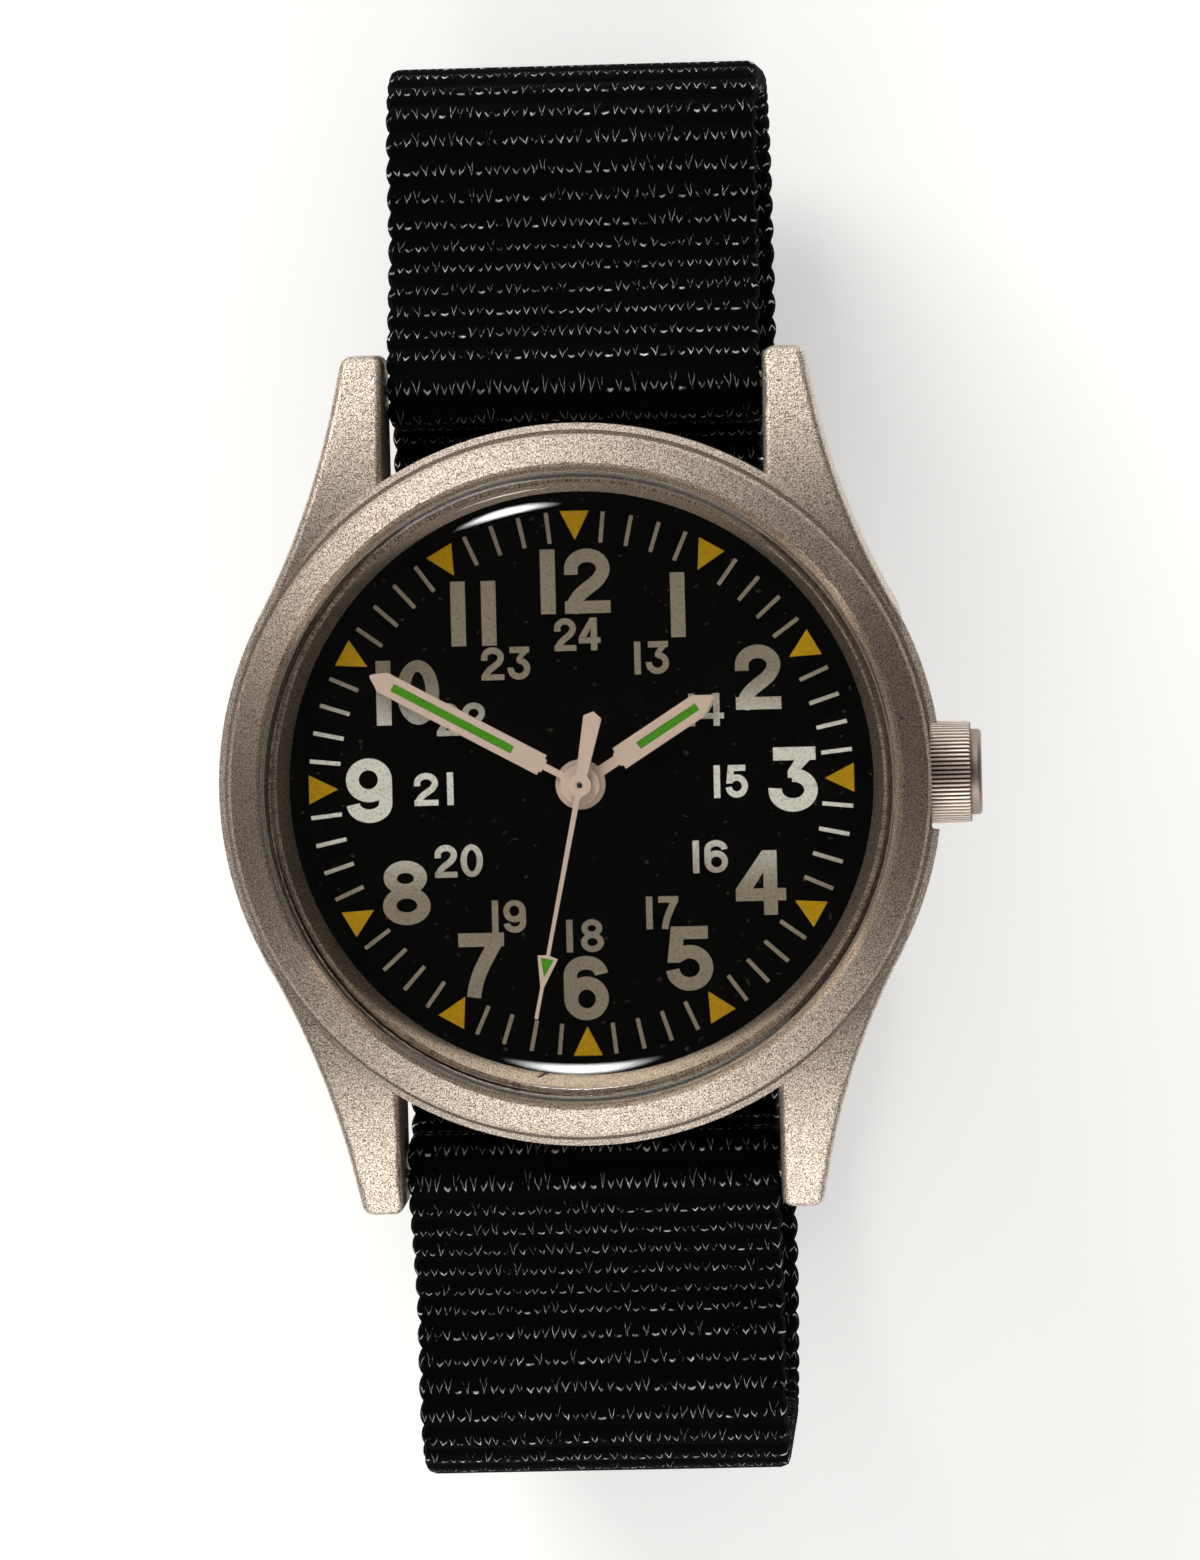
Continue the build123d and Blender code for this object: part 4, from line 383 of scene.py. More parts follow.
def dial_ink(settings):
    """Pad-printed ink: a thin matt film with fine pinholes, lighter across the dial's middle and
    greyer towards twelve and six."""
    material, add, place = new_material("pad_printed_ink")
    height = add("SeparateXYZ", {"Vector": place}).outputs["Y"]
    away = add("Math ABSOLUTE", (height,))
    # the ink turns greyer with distance from the dial's middle line, towards twelve and six
    band = (away, 1.5 * MM, 5.5 * MM)
    share = add("MapRange", band, interpolation_type="SMOOTHSTEP")
    inks = {"Factor": share, "A": tuple(settings.ink), "B": tuple(settings.ink_twelve_six)}
    banded_ink = add("Mix", inks, data_type="RGBA")
    film = add("TexNoise", sized(place, 0.14))
    cover = add("MapRange", (film, 0.32, 0.5, 0.68))
    layers = {"Factor": 1.0, "A": banded_ink, "B": cover}
    colour = add("Mix", layers, data_type="RGBA", blend_type="MULTIPLY")
    relief = add("Bump", {"Height": film, "Distance": 0.006 * MM})
    return finished(material, add, {"Base Color": colour, "Roughness": 0.5, "Normal": relief})


def pigment(name, colour, roughness, grain_mm, depth_mm, contrast=0.8):
    """Thick matt paint or rubber full of pigment: a fine grain and a slightly mottled tone."""
    material, add, place = new_material(name)
    grain = add("TexNoise", sized(place, grain_mm, 3.0))
    tone, _ = mottled(add, grain, 0.35, 0.62, shaded(colour, contrast), tuple(colour))
    relief = add("Bump", {"Height": grain, "Distance": depth_mm * MM})
    surface = {"Base Color": tone, "Roughness": roughness, "Specular IOR Level": 0.2}
    return finished(material, add, {**surface, "Normal": relief})


def webbing(settings, name="woven_nylon"):
    """Ribbed nylon webbing: on each rib's crest a broken row of small V shapes is painted white
    and metallic, painted glints where the yarns cross, which the lamps still brighten or dim; the
    valleys stay black. The UV map holds millimetres across and along the strap."""
    material, add, _ = new_material(name)
    uv = add("TexCoord").outputs["UV"]
    parts = add("SeparateXYZ", {"Vector": uv}).outputs
    wander = add("TexNoise", {"Vector": uv, "Scale": 1.1, "Detail": 2.0})
    shifted = add("Math MULTIPLY_ADD", (wander, 0.5, parts["X"]))
    column = add("Math DIVIDE", (shifted, settings.yarn / MM))
    row = add("Math DIVIDE", (parts["Y"], settings.rib_pitch / MM))
    part_of_row = add("Math FRACT", (row,))
    part_of_yarn = add("Math FRACT", (column,))
    side = add("Math SUBTRACT", (part_of_yarn, 0.5))
    flank = add("Math ABSOLUTE", (side,))
    yarn_number = add("Math FLOOR", (column,))
    row_number = add("Math FLOOR", (row,))
    crossing = add("CombineXYZ", {"X": yarn_number, "Y": row_number})
    chance = add("TexWhiteNoise", {"Vector": crossing}, noise_dimensions="2D").outputs["Value"]
    tall = add("Math FLOORED_MODULO", (yarn_number, 2.0))
    # two yarns side by side make a tall and a short V, which opens towards the strap's start
    height = add("Math MULTIPLY_ADD", (tall, 0.42, chance))
    rise = add("Math MULTIPLY", (flank, height))
    middle = add("Math SUBTRACT", (0.64, rise))
    apart = add("Math SUBTRACT", (part_of_row, middle))
    reach = add("Math ABSOLUTE", (apart,))
    thread = add("MapRange", (reach, 0.02, 0.055, 1.0, 0.0))
    # each V stands alone: its arms end before they meet the next one's
    arm = add("MapRange", (flank, 0.2, 0.4, 1.0, 0.0))
    patch = add("TexNoise", {"Vector": uv, "Scale": 1.9, "Detail": 3.0, "Roughness": 0.7})
    present = add("MapRange", (patch, 0.4, 0.62))
    painted_glint_share = add("Math MULTIPLY", (arm, present))
    painted_glint = add("Math MULTIPLY", (thread, painted_glint_share))
    fibre = add("TexNoise", {"Vector": uv, "Scale": 8.0, "Detail": 2.0})
    ridge = add("Math MULTIPLY_ADD", (thread, 0.6, fibre))
    # painted glints: the V marks turn the black nylon white and metallic
    tones = {"Factor": painted_glint, "A": tuple(settings.nylon), "B": tuple(settings.painted_glint)}
    surface = {
        "Base Color": add("Mix", tones, data_type="RGBA"),
        "Metallic": add("Math MULTIPLY", (painted_glint, 0.9)),
        "Roughness": add("MapRange", (painted_glint, 0.0, 1.0, 0.8, 0.28)), "IOR": 1.53,
        "Specular IOR Level": 0.03,
        "Normal": add("Bump", {"Height": ridge, "Distance": 0.12 * MM}),
    }
    return finished(material, add, surface)


def ruby():
    """Synthetic ruby jewels: clear deep red, polished."""
    material, add, place = new_material("synthetic_ruby")
    cloud = add("TexNoise", sized(place, 0.6))
    reds = {"Factor": cloud, "A": linear("7a0820"), "B": linear("c2183c")}
    colour = add("Mix", reds, data_type="RGBA")
    return finished(material, add, {"Base Color": colour, "Roughness": 0.08, "IOR": 1.76})


# Numbers of the dial


def ellipse(cx, cy, rx, ry, start, end, steps=20):
    """Points on an ellipse between two angles in degrees."""
    angles = [radians(start + (end - start) * k / steps) for k in range(steps + 1)]
    return [(cx + rx * cos(a), cy + ry * sin(a)) for a in angles]


def bend(p0, p1, p2, p3, steps=12):
    """Points on a cubic curve."""
    points = []
    for k in range(steps + 1):
        t = k / steps
        weights = ((1 - t) ** 3, 3 * t * (1 - t) ** 2, 3 * t * t * (1 - t), t**3)
        points.append(
            tuple(sum(w * p[i] for w, p in zip(weights, (p0, p1, p2, p3))) for i in (0, 1))
        )
    return points


def stroke(points, width):
    """The four-sided pieces of a stroke of even width along points."""
    sides = []
    for k, (x, y) in enumerate(points):
        before, after = points[max(k - 1, 0)], points[min(k + 1, len(points) - 1)]
        dx, dy = after[0] - before[0], after[1] - before[1]
        reach = hypot(dx, dy)
        nx, ny = -dy / reach * width / 2, dx / reach * width / 2
        sides.append(((x + nx, y + ny), (x - nx, y - ny)))
    return [[a[0], a[1], b[1], b[0]] for a, b in zip(sides, sides[1:])]


def ring(outer, inner):
    """The four-sided pieces between two closed rows of points of equal count."""
    return [[outer[k], outer[k + 1], inner[k + 1], inner[k]] for k in range(len(outer) - 1)]


def rectangle(x0, y0, x1, y1):
    """One rectangle as a piece."""
    return [[(x0, y0), (x1, y0), (x1, y1), (x0, y1)]]


def oval(outer, inner, steps=36):
    """The pieces between two ellipses, each given by its middle and its two radii."""
    return ring(ellipse(*outer, 0, 360, steps), ellipse(*inner, 0, 360, steps))


def digit_pieces(digit, w, s):
    """Pieces of a digit in a box of height 1 and width w, with strokes s wide."""
    t, mid = s / 2, w / 2
    if digit == "1":
        return rectangle(0, 0, w, 1)
    if digit == "0":
        return oval((mid, 0.5, mid, 0.5), (mid, 0.5, mid - s, 0.5 - s * 0.88), 40)
    if digit == "2":
        top = ellipse(mid, 0.69, mid - t, 0.31 - t, 180, -32)
        tail = bend(top[-1], (mid * 1.35, 0.40), (t * 1.15, 0.34), (t, 0.0))
        return stroke([(t, 0.6)] + top + tail[1:], s) + rectangle(0, 0, w, s * 0.92)
    if digit == "3":
        bowl = ellipse(mid, 0.335, mid - t, 0.335 - t, 172, 452, 30)
        diagonal = [
            (0.97 * w, 1.0), (0.97 * w, 0.885), (0.66 * w, 0.65), (0.62 * w, 0.5),
            (0.40 * w, 0.53), (0.40 * w, 0.635), (0.64 * w, 0.9), (0.64 * w, 1.0),
        ]
        return stroke(bowl, s) + [diagonal] + rectangle(0.11 * w, 1 - s * 0.98, 0.97 * w, 1)
    if digit == "4":
        diagonal = [
            (0.0, 0.41), (0.54 * w, 1.0), (0.6 * w, 1.0), (0.6 * w, 0.72), (0.34 * w, 0.41),
        ]
        upright = rectangle(0.556 * w, 0, 0.556 * w + s * 1.02, 1)
        return upright + rectangle(0, 0.221, w, 0.221 + s * 0.92) + [diagonal]
    if digit == "5":
        bowl = ellipse(mid, 0.355, mid - t, 0.355 - t, 186, 494, 30)
        stem = [
            (0.125 * w, 1.0), (0.035 * w, 0.44), (0.31 * w, 0.44), (0.36 * w, 0.56),
            (0.39 * w, 0.9), (0.39 * w, 1.0),
        ]
        return stroke(bowl, s) + [stem] + rectangle(0.12 * w, 1 - s * 0.95, 0.9 * w, 1)
    if digit in "69":
        arch = ellipse(mid, 0.7, mid - t, 0.3 - t, 4, 180, 16)
        inner = (mid * 1.02, 0.331, mid - s, 0.34 - s * 0.93)
        pieces = stroke(arch + [(t, 0.34)], s) + oval((mid, 0.34, mid, 0.34), inner)
        if digit == "6":
            return pieces
        return [[(w - x, 1 - y) for x, y in piece] for piece in pieces]
    if digit == "7":
        stem = bend((0.86 * w, 0.93), (0.66 * w, 0.62), (0.38 * w, 0.42), (0.31 * w, 0.0))
        return stroke(stem, s * 1.05) + rectangle(0, 1 - s * 1.02, w, 1)
    if digit == "8":
        top_hole = (0.485 * w, 0.725, 0.455 * w - s * 0.98, 0.265 - s * 0.86)
        low_hole = (0.5 * w, 0.305, 0.5 * w - s, 0.295 - s * 0.9)
        top = oval((0.485 * w, 0.735, 0.455 * w, 0.265), top_hole)
        return top + oval((0.5 * w, 0.295, 0.5 * w, 0.295), low_hole)
    raise ValueError(f"no shape for digit {digit}")


# text, centre x and y, whole width, width of a 1, gap between digits: all in millimetres
HOUR_LABELS = [
    ("12", -0.04, 9.52, 3.27, 0.70, 0.43), ("1", 4.75, 8.30, 0.68, 0.68, 0.0),
    ("2", 8.43, 4.82, 2.13, 0.68, 0.0), ("3", 9.95, -0.03, 2.32, 0.68, 0.0),
    ("4", 8.32, -4.86, 2.36, 0.68, 0.0), ("5", 4.88, -8.35, 2.23, 0.68, 0.0),
    ("6", -0.01, -9.64, 2.10, 0.68, 0.0), ("7", -4.90, -8.45, 2.15, 0.68, 0.0),
    ("8", -8.36, -4.96, 2.25, 0.68, 0.0), ("9", -9.99, -0.10, 2.17, 0.68, 0.0),
    ("10", -8.05, 4.47, 2.97, 0.70, 0.27), ("11", -4.86, 8.11, 2.13, 0.69, 0.75),
]
DAY_LABELS = [
    ("24", 0.0, 7.02, 2.17, 0.3, 0.12), ("13", 3.46, 5.84, 1.63, 0.3, 0.24),
    ("14", 5.96, 3.34, 1.66, 0.3, 0.24), ("15", 7.03, -0.06, 1.60, 0.3, 0.25),
    ("16", 5.98, -3.57, 1.65, 0.3, 0.25), ("17", 3.66, -6.16, 1.52, 0.3, 0.28),
    ("18", 0.0, -7.17, 1.76, 0.3, 0.38), ("19", -3.56, -6.18, 1.60, 0.3, 0.24),
    ("20", -5.85, -3.51, 2.27, 0.3, 0.16), ("21", -6.94, -0.10, 1.85, 0.3, 0.42),
    ("22", -5.58, 3.16, 2.29, 0.3, 0.16), ("23", -3.40, 5.73, 2.30, 0.3, 0.16),
]
# width of a digit's strokes, as a share of its height
HOUR_STROKE_SHARE = 0.208
DAY_STROKE_SHARE = 0.19
# how much further out a triangle's point lies than a minute stroke's inner end
TRIANGLE_GAP = 0.085 * MM


def label_pieces(label, height_mm, stroke_share):
    """The pieces of a number, in millimetres on the dial."""
    text, x, y, whole, one_width, gap = label
    others = len(text) - text.count("1")
    room = whole - gap * (len(text) - 1) - one_width * text.count("1")
    left = x - whole / 2
    pieces = []
    for digit in text:
        width = one_width if digit == "1" else room / others
        for piece in digit_pieces(digit, width / height_mm, stroke_share):
            corners = [(left + px * height_mm, y + (py - 0.5) * height_mm) for px, py in piece]
            pieces.append(corners)
        left += width + gap
    return pieces


def area(piece):
    """The signed area inside a piece's corners, positive where they run anticlockwise."""
    pairs = zip(piece, piece[1:] + piece[:1])
    return sum(x0 * y1 - x1 * y0 for (x0, y0), (x1, y1) in pairs) / 2


def united(shape, pieces, low, high):
    """Adds the flat union of overlapping pieces to a bmesh, as a thin solid."""
    points, faces = [], []
    for piece in pieces:
        if area(piece) < 0:
            piece = piece[::-1]
        faces.append(list(range(len(points), len(points) + len(piece))))
        points.extend(Vector(p) for p in piece)
    corners, _, triangles, _, _, owners = delaunay_2d_cdt(points, [], faces, 0, 1e-6)
    verts = [shape.verts.new((p.x * MM, p.y * MM, low)) for p in corners]
    kept = [
        shape.faces.new([verts[i] for i in triangle])
        for triangle, owner in zip(triangles, owners)
        if owner
    ]
    bmesh.ops.delete(shape, geom=[v for v in verts if not v.link_faces], context="VERTS")
    raised = bmesh.ops.extrude_face_region(shape, geom=kept)["geom"]
    top = [part for part in raised if isinstance(part, bmesh.types.BMVert)]
    bmesh.ops.translate(shape, verts=top, vec=(0, 0, high - low))


# Geometry Nodes


def geometry_tree(name, sockets):
    """A Geometry Nodes tree with a geometry input, named inputs of the given kinds and a geometry
    output: the tree, the function that adds its nodes, and its inputs."""
    tree = bpy.data.node_groups.new(name, "GeometryNodeTree")
    tree.is_modifier = True
    for label, kind in {"Geometry": "Geometry", **sockets}.items():
        tree.interface.new_socket(label, in_out="INPUT", socket_type=f"NodeSocket{kind}")
    tree.interface.new_socket("Geometry", in_out="OUTPUT", socket_type="NodeSocketGeometry")
    return tree, partial(add_node, tree), tree.nodes.new("NodeGroupInput").outputs


def close_tree(add, geometry, material):
    """Ends a tree in Realize Instances and Set Material."""
    real = add("GeometryNodeRealizeInstances", {"Geometry": geometry})
    painted = add("GeometryNodeSetMaterial", {"Geometry": real, "Material": material})
    add("NodeGroupOutput", {"Geometry": painted})


def grown(thing, tree, values):
    """The plain mesh that a tree makes of an object, with values for its named inputs."""
    modifier = thing.modifiers.new(tree.name, "NODES")
    modifier.node_group = tree
    for item in tree.interface.items_tree:
        if item.in_out == "INPUT" and item.name in values:
            modifier[item.identifier] = values[item.name]
    mesh = evaluated(thing)
    bpy.data.objects.remove(thing)
    return mesh


def marks_tree():
    """Repeats one mark round the dial, at every place or only at every few places."""
    sockets = {"Places": "Int", "Hour step": "Int", "Only hours": "Bool", "Material": "Material"}
    tree, add, given = geometry_tree("Marks round the dial", sockets)
    index = add("GeometryNodeInputIndex")
    step = add("Math DIVIDE", (2 * pi, given["Places"]))
    angle = add("Math MULTIPLY", (index, step))
    turn = add("CombineXYZ", {"Z": angle})
    rest = add("Math MODULO", (index, given["Hour step"]))
    is_hour = add("FunctionNodeCompare LESS_THAN", (rest, 0.5), data_type="FLOAT")
    marks = {
        "Points": add("GeometryNodePoints", {"Count": given["Places"]}),
        "Selection": add("FunctionNodeBooleanMath XNOR", (is_hour, given["Only hours"])),
        "Instance": given["Geometry"],
        "Rotation": add("FunctionNodeEulerToRotation", {"Euler": turn}),
    }
    close_tree(add, add("GeometryNodeInstanceOnPoints", marks), given["Material"])
    return tree


def webbing_tree():
    """Weaves a ribbed band along a path: the band's cross-section is swept, its surface is drawn
    in between the ribs, and a UV map in millimetres is kept for the yarns."""
    floats = ("Width", "Thickness", "Corner", "Step", "Rib pitch", "Rib depth", "Wander", "Seed")
    sockets = {"Cuts": "Int", "Across": "Vector", "Material": "Material"}
    sockets.update(dict.fromkeys(floats, "Float"))
    tree, add, given = geometry_tree("Ribbed webbing", sockets)
    steps = {"Curve": given["Geometry"], "Length": given["Step"]}
    path = add("GeometryNodeResampleCurve", steps, mode="LENGTH")
    upright = {"Curve": path, "Normal": given["Across"]}
    turned = add("GeometryNodeSetCurveNormal", upright, mode="FREE")
    kept = add("GeometryNodeCaptureAttribute", {"Geometry": turned})
    kept.capture_items.new("FLOAT", "Along")
    along = add("GeometryNodeSplineParameter").outputs["Length"]
    tree.links.new(along, kept.inputs[1])
    size = {"Width": given["Width"], "Height": given["Thickness"]}
    section = add("GeometryNodeCurvePrimitiveQuadrilateral", size, mode="RECTANGLE")
    easing = {"Curve": section, "Radius": given["Corner"], "Count": 2}
    eased = add("GeometryNodeFilletCurve", easing, mode="POLY")
    cut = add("GeometryNodeSubdivideCurve", {"Curve": eased, "Cuts": given["Cuts"]})
    sweep = {"Curve": kept, "Profile Curve": cut, "Fill Caps": True}
    band = add("GeometryNodeCurveToMesh", sweep)
    position = add("GeometryNodeInputPosition")
    grain = {"Vector": position, "W": given["Seed"], "Scale": 1 / (3 * MM), "Detail": 1.0}
    noise = add("TexNoise", grain, noise_dimensions="4D")
    shift = add("Math MULTIPLY_ADD", (noise, given["Wander"], kept.outputs[1]))
    row = add("Math DIVIDE", (shift, given["Rib pitch"]))
    phase = add("Math FRACT", (row,))
    turn = add("Math MULTIPLY", (phase, pi))
    wave = add("Math SINE", (turn,))
    crest = add("Math POWER", (wave, 0.7))
    sunk = add("Math SUBTRACT", (crest, 1.0))
    depth = add("Math MULTIPLY", (sunk, given["Rib depth"]))
    normal = add("GeometryNodeInputNormal")
    offset = add("VectorMath SCALE", {0: normal, "Scale": depth})
    ribbed = add("GeometryNodeSetPosition", {"Geometry": band, "Offset": offset})
    across = add("VectorMath DOT_PRODUCT", (position, given["Across"])).outputs["Value"]
    flat = add("CombineXYZ", {"X": across, "Y": shift})
    in_mm = add("VectorMath SCALE", {0: flat, "Scale": 1 / MM})
    uv = {"Geometry": ribbed, "Name": "UVMap", "Value": in_mm}
    mapped = add("GeometryNodeStoreNamedAttribute", uv, data_type="FLOAT2", domain="CORNER")
    smooth = add("GeometryNodeSetShadeSmooth", {"Geometry": mapped})
    close_tree(add, smooth, given["Material"])
    return tree


def wire_tree():
    """Draws a round wire along a path."""
    tree, add, given = geometry_tree("Wire", {"Radius": "Float", "Material": "Material"})
    circle = {"Resolution": 8, "Radius": given["Radius"]}
    section = add("GeometryNodeCurvePrimitiveCircle", circle)
    sweep = {"Curve": given["Geometry"], "Profile Curve": section, "Fill Caps": True}
    wire = add("GeometryNodeCurveToMesh", sweep)
    smooth = add("GeometryNodeSetShadeSmooth", {"Geometry": wire})
    close_tree(add, smooth, given["Material"])
    return tree


# Paths, in millimetres


def rounded_path(stops):
    """Points along a flat path of (a, b, corner radius) stops, with arcs at its corners. A closed
    path has no stop without a radius."""
    points = []
    count = len(stops)
    for k, (a, b, radius) in enumerate(stops):
        here = Vector((a, b))
        if radius == 0:
            points.append(here)
            continue
        before = Vector(stops[k - 1][:2])
        after = Vector(stops[(k + 1) % count][:2])
        back = (before - here).normalized()
        on = (after - here).normalized()
        half = back.angle(on) / 2
        reach = radius / tan(half)
        centre = here + (back + on).normalized() * (radius / sin(half))
        start = here + back * reach - centre
        turn = start.angle_signed(here + on * reach - centre)
        steps = max(3, round(abs(degrees(turn)) / 6))
        for n in range(steps + 1):
            points.append(centre + Matrix.Rotation(-turn * n / steps, 2) @ start)
    return points


def path_object(name, points, closed=False):
    """A curve object of straight runs through points in metres."""
    curve = bpy.data.curves.new(name, "CURVE")
    curve.dimensions = "3D"
    spline = curve.splines.new("POLY")
    spline.points.add(len(points) - 1)
    for target, point in zip(spline.points, points):
        target.co = (*point, 1.0)
    spline.use_cyclic_u = closed
    return placed(name, curve)


def woven(name, points, closed, settings, material, size, across, seed):
    """A ribbed band along points in metres, as a plain mesh object. Its size is its width and
    its thickness."""
    width, thickness = size
    tree = bpy.data.node_groups.get("Ribbed webbing") or webbing_tree()
    values = {
        "Width": width, "Thickness": thickness, "Corner": thickness * 0.4, "Cuts": 3,
        "Step": settings.rib_pitch / 7, "Rib pitch": settings.rib_pitch,
        "Rib depth": settings.rib_depth, "Across": across, "Wander": settings.rib_pitch * 0.18,
        "Seed": seed, "Material": material,
    }
    mesh = grown(path_object(f"{name}_path", points, closed), tree, values)
    return from_mesh(name, mesh, material)


# The strap's middle line: y, z and corner radius, as the CAD strap has them
STRAP_STOPS = [
    (4.5, 4.15, 0), (-5.6, 4.15, 3), (-10.33, 5.136, 1.303), (-10.33, 1.864, 1.303),
    (-5.6, 2.85, 3), (33.6, 2.85, 9.4), (33.6, 32.75, 4.403), (25.125, 32.75, 3),
    (17.5, 38.089, 1.4), (17.5, 32.75, 1.5), (-17.5, 32.75, 1.5), (-17.5, 38.089, 1.4),
    (-25.125, 32.75, 3), (-33.6, 32.75, 4.403), (-33.6, 3.55, 9.4), (-16.2, 3.55, 2),
    (-11.2, 0.8, 2), (-7.5, 0.8, 2), (-4.0, 1.55, 2), (23.0, 1.55, 0),
]
# millimetres: the hole that the prong stands in, the other holes by their count from it, and
# the height of the tail's middle up to each y
CROSSING = (-13.2506, 1.928)
CROSSING_SLOPE = radians(-28.81)
HOLE_PITCH_MM = 6.5
OTHER_HOLES = (-1, 1, 2, 3, 4, 5)
TAIL_HEIGHTS = ((-16.2, 3.55), (-6.3, 0.8), (inf, 1.55))
TAIL_END_MM = 23.0
TAIL_TIP_R_MM = 10.0
TAIL_TIP_LEVELS = (0.85, 2.2)
# the slot for the prong in the fold round the buckle's pin
PRONG_SLOT = ((-1.2, -11.1), (1.2, -11.1), (1.2, -6.9), (-1.2, -6.9))
PRONG_SLOT_LEVELS = (1.5, 6.4)


def oblong_cutter(shape, y, z, slope=0.0, half_width=1.1, half_length=1.7, half_height=0.66):
    """Adds an oblong prism that cuts one hole, at a place in millimetres."""
    rim = ellipse(0, half_length - half_width, half_width, half_width, 0, 180, 12)
    rim += ellipse(0, half_width - half_length, half_width, half_width, 180, 360, 12)
    place = Matrix.Translation((0, y, z)) @ Matrix.Rotation(slope, 4, "X")
    prism(shape, rim, -half_height, half_height, place)


def prism(shape, rim, low, high, place=Matrix.Identity(4)):
    """Adds a closed prism over a rim of (x, y) points, moved by a matrix; all in millimetres."""
    scale = Matrix.Scale(MM, 4)
    rings = []
    for z in (low, high):
        rings.append([shape.verts.new(scale @ place @ Vector((x, y, z))) for x, y in rim])
    count = len(rim)
    for k in range(count):
        nxt = (k + 1) % count
        shape.faces.new([rings[0][k], rings[0][nxt], rings[1][nxt], rings[1][k]])
    shape.faces.new(rings[0][::-1])
    shape.faces.new(rings[1])


def cut_away(thing, shape):
    """Cuts the closed solids of a bmesh out of an object."""
    bmesh.ops.recalc_face_normals(shape, faces=shape.faces)
    tool = from_bmesh("cutter", shape, thing.data.materials[0])
    cut = thing.modifiers.new("Cut", "BOOLEAN")
    cut.operation = "DIFFERENCE"
    cut.solver = "EXACT"
    cut.object = tool
    applied(thing)
    bpy.data.objects.remove(tool)


# Operators


class FIELDWATCH_OT_case(bpy.types.Operator):
    """Finish the mid case, bezel and flange ring in bead-blasted steel, and the case back in
    brushed steel
    """

    bl_idname = "fieldwatch.case"
    bl_label = "Case"

    def execute(self, context):
        metal = context.scene.field_watch_metal
        steel = blasted_steel(metal)
        for node in ("mid_case", "bezel"):
            dress(node, steel)
        # the flange ring: the case steel at half its light, painted shade that darkens it all
        # round
        dress("rehaut_ring", blasted_steel(metal, "painted_shade_flange_steel", 0.5, 0.16))
        dress("case_back", turned_metal("brushed_back_steel", "bdb5ab", 0.34))
        dress("crown_tube", turned_metal("turned_tube_steel", "b9b3aa", 0.3))
        # moulded nitrile rubber: matt black with a dry bloom
        seal = pigment("nitrile_rubber", linear("1b1b1c"), 0.7, 0.3, 0.01)
        for node in ("case_back_gasket", "crown_seal"):
            dress(node, seal)
        return {"FINISHED"}


CRYSTAL_WALL_DROP = 1.7 * MM
CRYSTAL_CORNER = 0.5 * MM
CRYSTAL_WALL = 0.45 * MM
CRYSTAL_THICK = 1.2 * MM


def dome_profile(edge_r, edge_z, top_z, steps=48):
    """Places (radius, height) up a shallow dome, from its edge to its top."""
    rise = top_z - edge_z
    sphere = (edge_r * edge_r + rise * rise) / (2 * rise)
    radii = [edge_r * (1 - k / steps) for k in range(steps + 1)]
    return [(r, top_z - sphere + sqrt(sphere * sphere - r * r)) for r in radii]


def crystal_profile():
    """The crystal's section, as the CAD has it: outside wall, shoulder, dome, and the inside."""
    low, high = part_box("crystal")
    wall_top = high.z - CRYSTAL_WALL_DROP
    shoulder = ellipse(
        high.x - CRYSTAL_CORNER, wall_top, CRYSTAL_CORNER, CRYSTAL_CORNER, 0, 90, 12
    )
    outer = dome_profile(high.x - CRYSTAL_CORNER, wall_top + CRYSTAL_CORNER, high.z)
    inner_r = high.x - CRYSTAL_WALL
    inner = dome_profile(inner_r, wall_top - CRYSTAL_CORNER, high.z - CRYSTAL_THICK)
    outside = [(high.x, low.z)] + shoulder + outer[1:]
    return outside, [(inner_r, low.z)] + inner


class FIELDWATCH_OT_crystal(bpy.types.Operator):
    """Turn the domed crystal again in fine steps, for smooth reflections, and make it clear"""

    bl_idname = "fieldwatch.crystal"
    bl_label = "Crystal"

    def execute(self, context):
        shape = bmesh.new()
        outside, inside = crystal_profile()
        rim = [shape.verts.new((r, 0, z)) for r, z in outside + inside[::-1]]
        edges = [shape.edges.new(pair) for pair in zip(rim, rim[1:] + rim[:1])]
        bmesh.ops.spin(
            shape, geom=rim + edges, axis=(0, 0, 1), cent=(0, 0, 0), angle=2 * pi, steps=180
        )
        bmesh.ops.remove_doubles(shape, verts=shape.verts, dist=WELD)
        bmesh.ops.recalc_face_normals(shape, faces=shape.faces)
        settle(from_bmesh("crystal_dome", shape, acrylic()), "case", "acrylic", "crystal")
        return {"FINISHED"}


class FIELDWATCH_OT_crown(bpy.types.Operator):
    """Finish the knurled crown"""

    bl_idname = "fieldwatch.crown"
    bl_label = "Crown"

    def execute(self, context):
        dress("crown", crown_steel())
        return {"FINISHED"}


